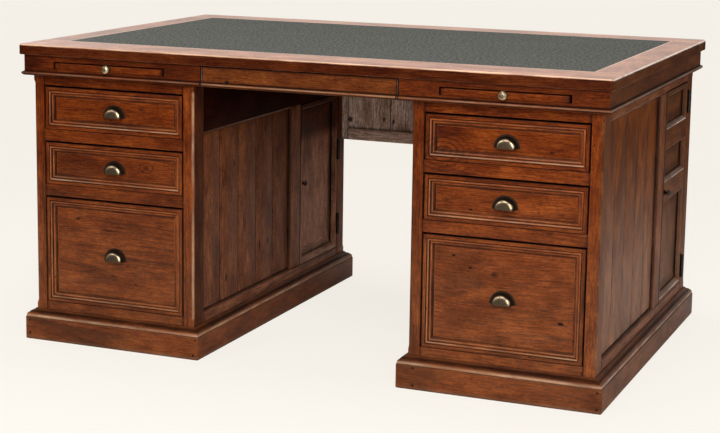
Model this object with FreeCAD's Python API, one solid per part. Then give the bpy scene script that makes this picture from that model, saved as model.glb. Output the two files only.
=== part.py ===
import FreeCAD, Part
import os

# Partners desk: a leather-lined top on a shallow frieze, carried by two pedestals.
# Millimetres. X runs along the desk, the front faces -Y, Z is up and the floor is Z = 0.

# Overall sizes
top_width = 1524.0
top_depth = 1016.0
desk_height = 762.0

# Top
top_thickness = 27.0
top_corner_radius = 9.0
top_upper_radius = 6.0
top_lower_radius = 2.0
end_border = 76.0
front_border = 120.0
back_border = 96.0
leather_thickness = 2.0

# Frieze
frieze_height = 52.0
frieze_thickness = 26.0
top_overhang = 11.0             # top past the frieze
frieze_bead_out = 6.0
frieze_bead_height = 11.0
divider_thickness = 18.0

# Pedestals
pedestal_width = 452.0
pedestal_set_in = 26.0          # pedestal side inside the end of the top
pedestal_set_back = 30.0        # pedestal face behind the front of the top
post_width = 28.0
post_depth = 54.0
frame_behind_boards = 3.0       # frame past the back of its boards
chamfer_leg = 6.0
chamfer_stop = 22.0             # plain post below and above the chamfer
chamfer_run = 9.0
top_rail_height = 25.0
drawer_rail_height = 29.0
bottom_rail_height = 22.0
rail_behind_plinth = 30.0
kneehole_rail_height = 123.0
mid_stile_width = 56.0
cupboard_width = 266.0
inner_board = 12.0
partition_set_in = 14.0         # partition behind the front edge of the mid stile
floor_set_down = 18.0           # floor board below the lowest drawer

# Boarded panels
board_recess = 9.0
board_thickness = 10.0
board_groove = 2.5
board_pitch = 104.0
panel_moulding_width = 13.5
panel_moulding_height = 8.0

# Plinth
plinth_face_height = 58.0
plinth_moulding_height = 20.0
plinth_out = 23.0
plinth_foot_radius = 3.0

# Drawers
shallow_opening = 112.0
drawer_gap = 2.5
drawer_head_gap = 3.0
drawer_foot_gap = 1.0
front_thickness = 22.0
border_flat = 8.0
border_width = 14.5
field_sunk = 9.0
box_wall = 12.0
box_bottom = 6.0
box_rear_gap = 22.0             # drawer box to the partition behind it
box_side_gap = 3.0
box_head_room = 14.0
box_bottom_rise = 10.0
running_gap = 0.3
runner_width = 30.0

# Centre drawer
centre_set_in = 28.0            # end of the opening inside the pedestal's face
centre_box_depth = 400.0
centre_box_wall = 10.0
centre_runner_width = 16.0
centre_runner_height = 10.0
centre_head_room = 7.0
centre_bottom_rise = 4.0

# Writing slides
slide_width = 304.0
slide_thickness = 17.0
slide_depth = 430.0
slide_slot_rise = 18.0          # slot above the frieze's lower edge
slide_left_gap = 2.0
slide_right_gap = 6.0
slide_head_gap = 2.0
slide_foot_gap = 0.5
slide_guide_length = 450.0

# Apron across the back of the kneehole
apron_drop = 262.0
apron_thickness = 18.0
apron_stile = 18.0
apron_rail = 33.0
apron_board_pitch = 133.0
apron_board_recess = 6.0
apron_board_thickness = 8.0

# Doors and their hinges
door_gap = 2.0
door_thickness = 20.0
small_field_height = 90.0
door_rail_height = 48.0
hinge_length = 62.0
hinge_leaf_width = 18.0
hinge_leaf = 1.3
hinge_leaf_gap = 0.4            # between the closed leaves
knuckle_radius = 4.0
pin_radius = 2.0
pin_clearance = 0.05
knuckle_gap = 0.2
kneehole_hinge_from_foot = 74.0
kneehole_hinge_from_head = 164.0
outer_hinge_from_foot = 50.0
outer_hinge_from_head = 56.0
door_knob_radius = 8.0
door_knob_out = 16.0
kneehole_knob_height = 331.0
outer_knob_height = 22.0        # above the lower edge of its rail
kneehole_knob_set_in = 31.0
outer_knob_set_in = 17.0

# Drawer pulls and slide knobs
pull_radius = 27.5              # cup where it leaves its flange
pull_brow_radius = 25.0         # cup where its shoulder starts
pull_front_radius = 18.5        # cup where its front starts
pull_out = 18.0
pull_shoulder = 6.0             # depth of the shoulder
pull_crown = 1.2                # doming of the front
pull_wall = 2.0
pull_flange_width = 4.0
pull_flange = 1.5
slide_knob_radius = 10.5
slide_knob_out = 19.0

# Places that follow from the sizes above
half_width = top_width / 2
half_depth = top_depth / 2
top_under = desk_height - top_thickness
frieze_low = top_under - frieze_height
frieze_x = half_width - top_overhang
frieze_y = half_depth - top_overhang
pedestal_outer = half_width - pedestal_set_in
pedestal_inner = pedestal_outer - pedestal_width
pedestal_front = -(half_depth - pedestal_set_back)
pedestal_back = -pedestal_front
frame_thickness = board_recess + board_thickness + frame_behind_boards
plinth_height = plinth_face_height + plinth_moulding_height
opening_floor = plinth_height + bottom_rail_height
opening_head = frieze_low - top_rail_height
file_opening = opening_head - opening_floor - 2 * (shallow_opening + drawer_rail_height)
drawer_opening_width = pedestal_width - 2 * post_width
side_start = pedestal_front + post_depth
side_end = pedestal_back - post_depth
door_start = side_end - cupboard_width
stile_start = door_start - mid_stile_width
partition_face = stile_start + partition_set_in
box_front = pedestal_front + front_thickness
box_depth = partition_face - box_rear_gap - box_front
floor_top = opening_floor - floor_set_down
kneehole_head = frieze_low - kneehole_rail_height
slot_low = frieze_low + slide_slot_rise
slide_low = slot_low + slide_foot_gap
slide_high = slide_low + slide_thickness
slot_high = slide_high + slide_head_gap
apron_back = frieze_y - frieze_thickness
apron_front = apron_back - apron_thickness
apron_low = frieze_low - apron_drop
centre_half = pedestal_inner - centre_set_in
hinge_gap = 2 * hinge_leaf + hinge_leaf_gap
tolerance = 0.01

vec = FreeCAD.Vector
up = vec(0, 0, 1)
left, right, front, back = vec(-1, 0, 0), vec(1, 0, 0), vec(0, -1, 0), vec(0, 1, 0)


def block(x0, x1, y0, y1, z0, z1):
    corner = vec(min(x0, x1), min(y0, y1), min(z0, z1))
    return Part.makeBox(abs(x1 - x0), abs(y1 - y0), abs(z1 - z0), corner)


def prism(points, path):
    return Part.Face(Part.makePolygon(points + points[:1])).extrude(path)


def profile_face(steps):
    # A closed outline in the YZ plane. A step is a corner (across, height) or, with four
    # numbers, an arc through its first pair to its second.
    corners = [vec(0, step[-2], step[-1]) for step in steps]
    edges = []
    for index, step in enumerate(steps):
        start, end = corners[index - 1], corners[index]
        if len(step) == 4:
            edges.append(Part.Arc(start, vec(0, step[0], step[1]), end).toShape())
        else:
            edges.append(Part.makeLine(start, end))
    return Part.Face(Part.Wire(edges))


def placed(shape, origin, along, across):
    normal = along.cross(across)
    columns = zip(along, across, normal, origin)
    cells = [cell for row in columns for cell in row]
    moved = shape.copy()
    moved.Placement = FreeCAD.Placement(FreeCAD.Matrix(*cells, 0, 0, 0, 1))
    return moved


def moulded_run(steps, start, end, normal, mitres=(1, 1)):
    # A moulding or board run from start to end. Its profile is measured inwards (to the left
    # of the run, seen against the normal) and up the normal. A mitre of 1 cuts that end at
    # 45 degrees for an inside-to-outside corner, and 0 leaves it square.
    length = (end - start).Length
    along = (end - start).normalize()
    across = normal.cross(along)
    depths = [step[i] for step in steps for i in range(0, len(step), 2)]
    heights = [step[i] for step in steps for i in range(1, len(step), 2)]
    low, high = min(depths), max(depths)
    rise = 2 * max(heights)
    reach = 2 * max(high, -low)
    body = profile_face(steps).extrude(vec(length + 2 * reach, 0, 0))
    body.translate(vec(-reach, 0, 0))
    plan = [
        vec(mitres[0] * low, low, -rise),
        vec(length - mitres[1] * low, low, -rise),
        vec(length - mitres[1] * high, high, -rise),
        vec(mitres[0] * high, high, -rise),
    ]
    cut = body.common(prism(plan, vec(0, 0, 2 * rise))).Solids[0]
    return placed(cut, start, along, across)


def moulded_ring(steps, corners, normal):
    # Four mitred runs round a rectangle whose corners go anticlockwise, seen against the normal.
    return [moulded_run(steps, corners[i], corners[(i + 1) % 4], normal) for i in range(4)]


def face_corners(origin, along, width, height):
    # The corners of an upright rectangle, from its lower corner along its lower edge.
    return [
        origin,
        origin + along * width,
        origin + along * width + up * height,
        origin + up * height,
    ]


def upright_boards(origin, along, outward, width, height, pitch, thickness):
    # Edge-to-edge upright boards whose meeting arrises are bevelled on the face.
    count = max(2, round(width / pitch))
    board = width / count
    boards = []
    for index in range(count):
        bevel_a = board_groove if index else 0
        bevel_b = board_groove if index < count - 1 else 0
        outline = [
            (0, -thickness),
            (board, -thickness),
            (board, -bevel_b),
            (board - bevel_b, 0),
            (bevel_a, 0),
            (0, -bevel_a),
        ]
        base = origin + along * (index * board)
        points = [base + along * a + outward * d for a, d in outline]
        trimmed = [p for i, p in enumerate(points) if (p - points[i - 1]).Length > tolerance]
        boards.append(prism(trimmed, up * height))
    return boards


def panel_moulding_steps():
    width, height = panel_moulding_width, panel_moulding_height
    shoulder, toe = 0.22 * width, 0.11 * width
    return [
        (0, 0),
        (0, height),
        (shoulder, height),
        (0.72 * width, 0.74 * height, width - toe, 0.26 * height),
        (width, 0.26 * height),
        (width, 0),
    ]


def border_steps():
    # Two beads that step down from the flat border of a drawer or door to its sunk field.
    width, drop = border_width, field_sunk
    return [
        (0, 0),
        (0, 0.72 * drop),
        (0.08 * width, 0.72 * drop),
        (0.29 * width, drop, 0.5 * width, 0.69 * drop),
        (0.5 * width, 0.5 * drop),
        (0.76 * width, 0.56 * drop, 0.92 * width, 0.19 * drop),
        (width, 0.19 * drop),
        (width, 0),
    ]


def plinth_steps():
    face, rise, out = plinth_face_height, plinth_moulding_height, plinth_out
    foot = plinth_foot_radius
    shoulder, ledge = 0.09 * out, 0.42 * out
    return [
        (0, 0),
        (foot - out, 0),
        (0.3 * foot - out, 0.3 * foot, -out, foot),
        (-out, face),
        (shoulder - out, face),
        (0.14 * out - out, face + 0.36 * rise, ledge - out, face + 0.6 * rise),
        (ledge - out, face + 0.7 * rise),
        (-0.34 * out, face + 0.78 * rise, -0.13 * out, face + rise),
        (0, face + rise),
    ]


def frieze_steps(height, thickness):
    out, bead = frieze_bead_out, frieze_bead_height
    return [
        (thickness, 0),
        (-0.2 * out, 0),
        (-0.5 * out, 0.14 * bead),
        (-out, 0.5 * bead, -0.5 * out, 0.86 * bead),
        (0, bead),
        (0, height),
        (thickness, height),
    ]


def top_pieces():
    slab = block(-half_width, half_width, -half_depth, half_depth, top_under, desk_height)
    upright = [e for e in slab.Edges if abs(e.tangentAt(e.FirstParameter).z) > 0.5]
    slab = slab.makeFillet(top_corner_radius, upright)
    rim = [e for e in slab.Edges if e.BoundBox.ZMin > desk_height - tolerance]
    slab = slab.makeFillet(top_upper_radius, rim)
    sole = [e for e in slab.Edges if e.BoundBox.ZMax < top_under + tolerance]
    slab = slab.makeFillet(top_lower_radius, sole)
    in_x = half_width - end_border
    in_front, in_back = front_border - half_depth, half_depth - back_border
    low, high = top_under, desk_height
    front_board = slab.common(block(-half_width, half_width, -half_depth, in_front, low, high))
    back_board = slab.common(block(-half_width, half_width, in_back, half_depth, low, high))
    ends = [
        slab.common(block(side * in_x, side * half_width, in_front, in_back, low, high)).Solids[0]
        for side in (-1, 1)
    ]
    leather_under = desk_height - leather_thickness
    return {
        "top_front_board": front_board.Solids,
        "top_back_board": back_board.Solids,
        "top_end_boards": ends,
        "top_core": [block(-in_x, in_x, in_front, in_back, low, leather_under)],
        "leather_inset": [block(-in_x, in_x, in_front, in_back, leather_under, high)],
    }


def slide_centre(side):
    # The slot is centred over its pedestal, and the slide lies nearer to the slot's left end.
    return side * (pedestal_outer + pedestal_inner) / 2 + (slide_left_gap - slide_right_gap) / 2


def frieze_front(side):
    # Front rail over one pedestal, mitred at the desk's end and slotted for the writing slide.
    steps = frieze_steps(frieze_height, frieze_thickness)
    end = vec(side * frieze_x, -frieze_y, frieze_low)
    inner = vec(side * centre_half, -frieze_y, frieze_low)
    run = (end, inner, (1, 0)) if side < 0 else (inner, end, (0, 1))
    rail = moulded_run(steps, run[0], run[1], up, run[2])
    middle, reach = slide_centre(side), slide_width / 2
    through = frieze_thickness + frieze_bead_out
    slot = block(middle - reach - slide_left_gap, middle + reach + slide_right_gap,
                 -frieze_y - through, through - frieze_y, slot_low, slot_high)
    return rail.cut(slot).Solids


def frieze_pieces():
    steps = frieze_steps(frieze_height, frieze_thickness)
    x, y, z = frieze_x, frieze_y, frieze_low
    corner = {(a, b): vec(a * x, b * y, z) for a in (-1, 1) for b in (-1, 1)}
    ends = [
        moulded_run(steps, corner[1, -1], corner[1, 1], up),
        moulded_run(steps, corner[-1, 1], corner[-1, -1], up),
    ]
    rear = moulded_run(steps, corner[1, 1], corner[-1, 1], up)
    start = frieze_thickness - frieze_y
    dividers = []
    for side in (-1, 1):
        face, outer = side * centre_half, side * (centre_half + divider_thickness)
        dividers.append(block(face, outer, start, apron_front, frieze_low, top_under))
    return {
        "frieze_front_left": frieze_front(-1),
        "frieze_front_right": frieze_front(1),
        "frieze_ends": ends,
        "frieze_back": [rear],
        "frieze_dividers": dividers,
        "frieze_runners": centre_runners(start) + slide_guides(start),
    }


def centre_runners(start):
    runners = []
    for side in (-1, 1):
        inner = side * (centre_half - centre_runner_width)
        head = frieze_low + centre_runner_height
        runners.append(block(inner, side * centre_half, start, apron_front, frieze_low, head))
    return runners


def slide_guides(start):
    # Runners under each slide's edges and kickers over them.
    strips = []
    for side in (-1, 1):
        for edge in (-1, 1):
            x = slide_centre(side) + edge * slide_width / 2
            span = (x - runner_width / 2, x + runner_width / 2, start, start + slide_guide_length)
            strips.append(block(*span, frieze_low, slide_low - running_gap))
            strips.append(block(*span, slide_high + running_gap, top_under))
    return strips


def turned_knob(radius, out, origin, axis):
    # A knob turned about its own axis: a base ring, a neck, a hollow flare and a domed head.
    base, neck = 0.62 * radius, 0.42 * radius
    crown, waist, rim = 0.42 * out, 0.24 * out, 0.06 * out
    edge = out - crown
    dome = (radius ** 2 + crown ** 2) / (2 * crown)
    half = 0.6 * radius
    head = vec(half, 0, out - dome + (dome ** 2 - half ** 2) ** 0.5)
    flare = vec(neck + 0.22 * (radius - neck), 0, waist + 0.7 * (edge - rim - waist))
    corners = [vec(0, 0, 0), vec(base, 0, 0), vec(base, 0, 0.1 * out), vec(neck, 0, 0.16 * out),
               vec(neck, 0, waist)]
    lip, brow, top = vec(radius, 0, edge - rim), vec(radius, 0, edge), vec(0, 0, out)
    edges = [Part.makeLine(corners[i], corners[i + 1]) for i in range(len(corners) - 1)]
    edges += [
        Part.Arc(corners[-1], flare, lip).toShape(),
        Part.makeLine(lip, brow),
        Part.Arc(brow, head, top).toShape(),
        Part.makeLine(top, corners[0]),
    ]
    knob = Part.Face(Part.Wire(edges)).revolve(vec(0, 0, 0), up, 360)
    knob.Placement = FreeCAD.Placement(origin, FreeCAD.Rotation(up, axis))
    return knob


def slide_pieces(name, side):
    middle, reach = slide_centre(side), slide_width / 2
    board = block(middle - reach, middle + reach, -frieze_y, slide_depth - frieze_y, slide_low, slide_high)
    face = vec(middle, -frieze_y, (slide_low + slide_high) / 2)
    return {
        name + "_slide_board": [board],
        name + "_slide_knob": [turned_knob(slide_knob_radius, slide_knob_out, face, front)],
    }


def drawer_box(x0, x1, y0, depth, z0, z1, wall, bottom_rise):
    # Two sides, a back between them, and a bottom held between sides and back.
    y1 = y0 + depth
    bottom = z0 + bottom_rise
    return [
        block(x0, x0 + wall, y0, y1, z0, z1),
        block(x1 - wall, x1, y0, y1, z0, z1),
        block(x0 + wall, x1 - wall, y1 - wall, y1, z0, z1),
        block(x0 + wall, x1 - wall, y0, y1 - wall, bottom, bottom + box_bottom),
    ]


def centre_drawer_pieces():
    half = centre_half - drawer_gap
    steps = frieze_steps(frieze_height - drawer_head_gap, front_thickness)
    start, end = vec(-half, -frieze_y, frieze_low), vec(half, -frieze_y, frieze_low)
    face = moulded_run(steps, start, end, up, (0, 0))
    low = frieze_low + centre_runner_height + running_gap
    start_y = front_thickness - frieze_y
    box = drawer_box(-half, half, start_y, centre_box_depth, low, top_under - centre_head_room,
                     centre_box_wall, centre_bottom_rise)
    return {"centre_drawer_front": [face], "centre_drawer_box": box}


def sunk_panel(origin, along, width, height, thickness, fields):
    # An upright slab with sunk fields, each ringed by the stepped border moulding.
    # A field is (across, up, width, height), to the outside of its moulding.
    outward = along.cross(up)
    slab = prism(face_corners(origin, along, width, height), outward * -thickness)
    rings = []
    for across, rise, field_width, field_height in fields:
        low = origin + along * across + up * rise
        corners = face_corners(low, along, field_width, field_height)
        slab = slab.cut(prism(corners, outward * -field_sunk))
        floor = [corner - outward * field_sunk for corner in corners]
        rings += moulded_ring(border_steps(), floor, outward)
    return slab.fuse(rings).removeSplitter().Solids


def single_field(width, height):
    return [(border_flat, border_flat, width - 2 * border_flat, height - 2 * border_flat)]


def cup_pull(origin):
    # Half of a turned cup: a flange, a steep side, a round shoulder and a front that is almost flat.
    # Its section is radius against distance out, and its skin is drawn in by the wall inside.
    def section_point(radius, out):
        return vec(radius, -out, 0)

    ball = (pull_front_radius ** 2 + pull_crown ** 2) / (2 * pull_crown)
    half = pull_front_radius / 2
    bulge_drop = ball - (ball ** 2 - half ** 2) ** 0.5
    start = pull_out - pull_crown - pull_shoulder
    diagonal = 0.5 ** 0.5

    def skin(wall):
        reach = pull_brow_radius - wall - pull_front_radius
        rise = pull_shoulder - wall
        rim = section_point(pull_front_radius + reach, start)
        shoulder = section_point(pull_front_radius + diagonal * reach, start + diagonal * rise)
        edge = section_point(pull_front_radius, start + rise)
        bulge = section_point(half, pull_out - wall - bulge_drop)
        crown = section_point(0, pull_out - wall)
        return rim, crown, [Part.Arc(rim, shoulder, edge).toShape(), Part.Arc(edge, bulge, crown).toShape()]

    outer_rim, outer_crown, outer_edges = skin(0)
    inner_rim, inner_crown, inner_edges = skin(pull_wall)
    flange_radius = pull_radius + pull_flange_width
    foot = [
        inner_rim,
        section_point(pull_radius - pull_wall, 0),
        section_point(flange_radius, 0),
        section_point(flange_radius, pull_flange),
        section_point(pull_radius, pull_flange),
        outer_rim,
    ]
    edges = [Part.makeLine(foot[i], foot[i + 1]) for i in range(len(foot) - 1)]
    edges += outer_edges + [Part.makeLine(outer_crown, inner_crown)] + inner_edges[::-1]
    pull = Part.Face(Part.Wire(edges)).revolve(vec(0, 0, 0), front, 180)
    pull.translate(origin)
    return [pull]


def drawer_levels():
    low = opening_floor
    levels = []
    for name, height in (("file", file_opening), ("middle", shallow_opening), ("upper", shallow_opening)):
        levels.append((name, low, height))
        low += height + drawer_rail_height
    return levels


def pedestal_drawer(name, x0, low, height):
    # One drawer of a pedestal whose left side stands at x0.
    opening = x0 + post_width
    width = drawer_opening_width - 2 * drawer_gap
    tall = height - drawer_head_gap - drawer_foot_gap
    origin = vec(opening + drawer_gap, pedestal_front, low + drawer_foot_gap)
    field_y = pedestal_front + field_sunk
    box = drawer_box(opening + box_side_gap, opening + drawer_opening_width - box_side_gap, box_front,
                     box_depth, low + running_gap, low + height - box_head_room, box_wall, box_bottom_rise)
    pull_height = low + height / 2 - (pull_radius + pull_flange_width) / 2
    grip = vec(opening + drawer_opening_width / 2, field_y, pull_height)
    return {
        name + "_drawer_front": sunk_panel(origin, right, width, tall, front_thickness,
                                           single_field(width, tall)),
        name + "_drawer_box": box,
        name + "_drawer_pull": cup_pull(grip),
    }


def post(x, y, out_x, out_y):
    # A corner post from its outer arris at x, y, with a stopped chamfer down that arris.
    body = block(x, x - out_x * post_width, y, y - out_y * post_depth, 0, frieze_low)
    depth = chamfer_leg / 2 ** 0.5
    outward = vec(out_x, out_y, 0).normalize()
    sideways = up.cross(outward)
    low, high = plinth_height + chamfer_stop, frieze_low - chamfer_stop
    run, reach = chamfer_run, chamfer_leg
    outline = [(reach, low - run), (0, low - run), (-depth, low), (-depth, high), (0, high + run),
               (reach, high + run)]
    base = vec(x, y, 0) - sideways * 2 * reach
    points = [base + outward * d + up * z for d, z in outline]
    return body.cut(prism(points, sideways * 4 * reach)).Solids[0]


def side_frame(face, outward, head, has_door):
    # Rails, mid stile, boards and planted mouldings of one pedestal side.
    inner = face - outward.x * frame_thickness
    rails = [
        block(face, inner, side_start, side_end, plinth_height - rail_behind_plinth, opening_floor),
        block(face, inner, side_start, side_end, head, frieze_low),
        block(face, inner, stile_start, door_start, opening_floor, head),
    ]
    bays = [(side_start, stile_start)]
    if not has_door:
        bays.append((door_start, side_end))
    boards, mouldings = [], []
    along = up.cross(outward)
    for start, end in bays:
        y = start if along.y > 0 else end
        origin = vec(face, y, opening_floor) - outward * board_recess
        bay_boards, bay_moulding = boarded_bay(origin, along, outward, end - start, head - opening_floor)
        boards += bay_boards
        mouldings += bay_moulding
    return rails, boards, mouldings


def boarded_bay(origin, along, outward, width, height):
    boards = upright_boards(origin, along, outward, width, height, board_pitch, board_thickness)
    mouldings = moulded_ring(panel_moulding_steps(), face_corners(origin, along, width, height), outward)
    return boards, mouldings


def pedestal_inside(x0, x1, posts):
    # Floor and top board, notched round the posts, and a partition between the side frames.
    a, b = x0 + frame_thickness, x1 - frame_thickness
    rear = pedestal_back - frame_thickness
    top_low = frieze_low - inner_board
    floor = block(a, b, side_start, rear, floor_top - inner_board, floor_top)
    head = block(a, b, side_start, rear, top_low, frieze_low)
    partition = block(a, b, partition_face, partition_face + inner_board, floor_top, top_low)
    return floor.cut(posts).Solids + head.cut(posts).Solids + [partition]


def drawer_runners(x0, x1):
    runners = []
    for index, (_, low, _) in enumerate(drawer_levels()):
        foot = low - drawer_rail_height if index else floor_top
        for edge, inward in ((x0 + frame_thickness, 1), (x1 - frame_thickness, -1)):
            runners.append(block(edge, edge + inward * runner_width, side_start, partition_face, foot, low))
    return runners


def front_rails(x0, x1):
    a, b = x0 + post_width, x1 - post_width
    heads = [(plinth_height - rail_behind_plinth, opening_floor), (opening_head, frieze_low)]
    heads += [(low - drawer_rail_height, low) for _, low, _ in drawer_levels()[1:]]
    return [block(a, b, pedestal_front, side_start, low, high) for low, high in heads]


def back_frame(x0, x1):
    a, b = x0 + post_width, x1 - post_width
    inner = pedestal_back - frame_thickness
    rails = [
        block(a, b, inner, pedestal_back, plinth_height - rail_behind_plinth, opening_floor),
        block(a, b, inner, pedestal_back, opening_head, frieze_low),
    ]
    origin = vec(b, pedestal_back - board_recess, opening_floor)
    boards, mouldings = boarded_bay(origin, left, back, b - a, opening_head - opening_floor)
    return rails, boards, mouldings


def pedestal_pieces(name, x0, sides):
    # A pedestal whose left side stands at x0. Each side is (face, outward, head, has_door).
    x1 = x0 + pedestal_width
    corners = [vec(x0, pedestal_front, 0), vec(x1, pedestal_front, 0),
               vec(x1, pedestal_back, 0), vec(x0, pedestal_back, 0)]
    posts = [post(x0, pedestal_front, -1, -1), post(x1, pedestal_front, 1, -1),
             post(x1, pedestal_back, 1, 1), post(x0, pedestal_back, -1, 1)]
    rails = front_rails(x0, x1)
    boards, mouldings = [], []
    frames = [side_frame(*side) for side in sides] + [back_frame(x0, x1)]
    for more_rails, more_boards, more_mouldings in frames:
        rails += more_rails
        boards += more_boards
        mouldings += more_mouldings
    return {
        name + "_plinth": moulded_ring(plinth_steps(), corners, up),
        name + "_posts": posts,
        name + "_rails": rails,
        name + "_panel_boards": boards,
        name + "_panel_mouldings": mouldings,
        name + "_inner_boards": pedestal_inside(x0, x1, posts),
        name + "_drawer_runners": drawer_runners(x0, x1),
    }


def apron_pieces():
    low, high, end = apron_low, top_under, pedestal_inner
    rail_top, stile_in = low + apron_rail, end - apron_stile
    frame = [
        block(-stile_in, stile_in, apron_front, apron_back, low, rail_top),
        block(-stile_in, stile_in, apron_front, apron_back, frieze_low, high),
    ]
    frame += [block(s * stile_in, s * end, apron_front, apron_back, low, high) for s in (-1, 1)]
    origin = vec(-stile_in, apron_front + apron_board_recess, rail_top)
    boards = upright_boards(origin, right, front, 2 * stile_in, frieze_low - rail_top,
                            apron_board_pitch, apron_board_thickness)
    return {"apron_frame": frame, "apron_boards": boards}


def door_height(head):
    return head - opening_floor - 2 * door_gap


def door_panel(face, head, fields):
    # A door that faces +X, hung at its rear edge. Fields are stacked from the foot upwards.
    width = cupboard_width - door_gap - hinge_gap
    height = door_height(head)
    origin = vec(face, door_start + door_gap, opening_floor + door_gap)
    return sunk_panel(origin, back, width, height, door_thickness, fields(width, height))


def tall_field_head(height):
    # Top of an outer door's tall field, above the foot of the door.
    return height - border_flat - 2 * (small_field_height + door_rail_height)


def three_fields(width, height):
    # A tall field at the foot and two small ones above it, like the drawers in front.
    inner = width - 2 * border_flat
    top_low = height - border_flat - small_field_height
    tall_head = tall_field_head(height)
    mid_low = tall_head + door_rail_height
    return [
        (border_flat, border_flat, inner, tall_head - border_flat),
        (border_flat, mid_low, inner, small_field_height),
        (border_flat, top_low, inner, small_field_height),
    ]


def hinge_axis(face, middle):
    return vec(face + knuckle_radius, side_end - hinge_gap / 2, middle - hinge_length / 2)


def knuckle(axis, low, high, bore):
    place = axis + up * low
    tube = Part.makeCylinder(knuckle_radius, high - low, place)
    return tube.cut(Part.makeCylinder(bore, high - low, place))


def leaf(axis, toward, spans, bore):
    # One hinge leaf lying in the gap beside the door, with its knuckles on the pin's axis.
    seat = axis.y + toward * hinge_gap / 2
    plate = block(axis.x - knuckle_radius - hinge_leaf_width, axis.x, seat, seat - toward * hinge_leaf,
                  axis.z, axis.z + hinge_length)
    keep = Part.makeCylinder(knuckle_radius + knuckle_gap, hinge_length, axis)
    solid = plate.cut(keep)
    for low, high in spans:
        arm = block(axis.x - knuckle_radius, axis.x, seat, seat - toward * hinge_leaf,
                    axis.z + low, axis.z + high)
        bored = Part.makeCylinder(bore, hinge_length, axis)
        solid = solid.fuse([arm.cut(bored), knuckle(axis, low, high, bore)])
    return solid.removeSplitter().Solids


def hinges(face, heights):
    # Butt hinges: the frame's leaf has the outer knuckles and the door's leaf the middle one.
    third = hinge_length / 3
    frame_spans = [(0, third - knuckle_gap), (2 * third + knuckle_gap, hinge_length)]
    frame_leaves, door_leaves, pins = [], [], []
    for height in heights:
        axis = hinge_axis(face, height)
        frame_leaves += leaf(axis, 1, frame_spans, pin_radius)
        door_leaves += leaf(axis, -1, [(third, 2 * third)], pin_radius + pin_clearance)
        pins.append(Part.makeCylinder(pin_radius, hinge_length, axis))
    return frame_leaves, door_leaves, pins


def door_knob(face, set_in, height):
    place = vec(face, door_start + door_gap + set_in, height)
    return turned_knob(door_knob_radius, door_knob_out, place, right)


def door_pieces():
    knee, outer = -pedestal_inner, pedestal_outer
    knee_heights = (opening_floor + kneehole_hinge_from_foot, kneehole_head - kneehole_hinge_from_head)
    outer_heights = (opening_floor + outer_hinge_from_foot, opening_head - outer_hinge_from_head)
    knee_frame, knee_door, knee_pins = hinges(knee, knee_heights)
    outer_frame, outer_door, outer_pins = hinges(outer, outer_heights)
    field_face = knee - field_sunk
    rail_low = opening_floor + door_gap + tall_field_head(door_height(opening_head))
    return {
        "kneehole_door": door_panel(knee, kneehole_head, single_field),
        "kneehole_door_knob": [door_knob(field_face, kneehole_knob_set_in, kneehole_knob_height)],
        "kneehole_door_leaves": knee_door,
        "outer_door": door_panel(outer, opening_head, three_fields),
        "outer_door_knob": [door_knob(outer, outer_knob_set_in, rail_low + outer_knob_height)],
        "outer_door_leaves": outer_door,
        "hinge_frame_leaves": knee_frame + outer_frame,
        "hinge_pins": knee_pins + outer_pins,
    }


def desk_pieces():
    pieces = {}
    for group in (top_pieces(), frieze_pieces(), centre_drawer_pieces(), apron_pieces(), door_pieces()):
        pieces.update(group)
    starts = {"left": -pedestal_outer, "right": pedestal_inner}
    for side, (name, x0) in zip((-1, 1), starts.items()):
        x1 = x0 + pedestal_width
        on_knee_side = name == "left"
        sides = [
            (x1, right, kneehole_head if on_knee_side else opening_head, True),
            (x0, left, opening_head if on_knee_side else kneehole_head, False),
        ]
        pieces.update(pedestal_pieces(name, x0, sides))
        pieces.update(slide_pieces(name, side))
        for level, low, height in drawer_levels():
            pieces.update(pedestal_drawer(name + "_" + level, x0, low, height))
    return pieces


os.makedirs("parts", exist_ok=True)
for node, solids in desk_pieces().items():
    Part.makeCompound(solids).exportStep("parts/" + node + ".step")
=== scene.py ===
import math
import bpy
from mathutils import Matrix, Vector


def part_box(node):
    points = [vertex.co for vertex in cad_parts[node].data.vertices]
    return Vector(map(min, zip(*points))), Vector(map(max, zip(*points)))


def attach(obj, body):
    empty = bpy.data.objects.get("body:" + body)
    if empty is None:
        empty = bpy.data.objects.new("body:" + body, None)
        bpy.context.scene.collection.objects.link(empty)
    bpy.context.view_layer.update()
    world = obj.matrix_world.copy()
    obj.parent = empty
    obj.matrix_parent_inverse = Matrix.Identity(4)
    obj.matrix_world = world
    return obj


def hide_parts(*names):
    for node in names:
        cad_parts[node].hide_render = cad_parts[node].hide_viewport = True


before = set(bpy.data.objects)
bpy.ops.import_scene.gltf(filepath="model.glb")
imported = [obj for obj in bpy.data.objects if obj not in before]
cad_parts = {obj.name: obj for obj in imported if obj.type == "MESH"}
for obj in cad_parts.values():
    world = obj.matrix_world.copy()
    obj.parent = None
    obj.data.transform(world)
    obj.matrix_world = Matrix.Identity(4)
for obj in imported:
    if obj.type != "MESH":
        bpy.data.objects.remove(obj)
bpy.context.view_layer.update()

import zlib

import bmesh
import bpy
import numpy as np
from mathutils import Matrix

mm = 0.001
weldStep = 2e-6                     # points nearer than this become one
xAxis, yAxis, up = np.eye(3)
sharpAngle = 33                     # degrees: faces that meet more steeply keep a hard edge
facing = 0.7                        # a face looks along an axis where its normal has more than this of it


def seeded(name):                   # the same draws for the same piece on every run
    return np.random.default_rng(zlib.crc32(name.encode()))


def boxOf(node):
    low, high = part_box(node)
    return np.array(low), np.array(high)


def meshArrays(node):
    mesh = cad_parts[node].data
    mesh.calc_loop_triangles()
    points = np.empty(len(mesh.vertices) * 3)
    mesh.vertices.foreach_get("co", points)
    corners = np.empty(len(mesh.loop_triangles) * 3, np.int32)
    mesh.loop_triangles.foreach_get("vertices", corners)
    return points.reshape(-1, 3), corners.reshape(-1, 3)


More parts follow.
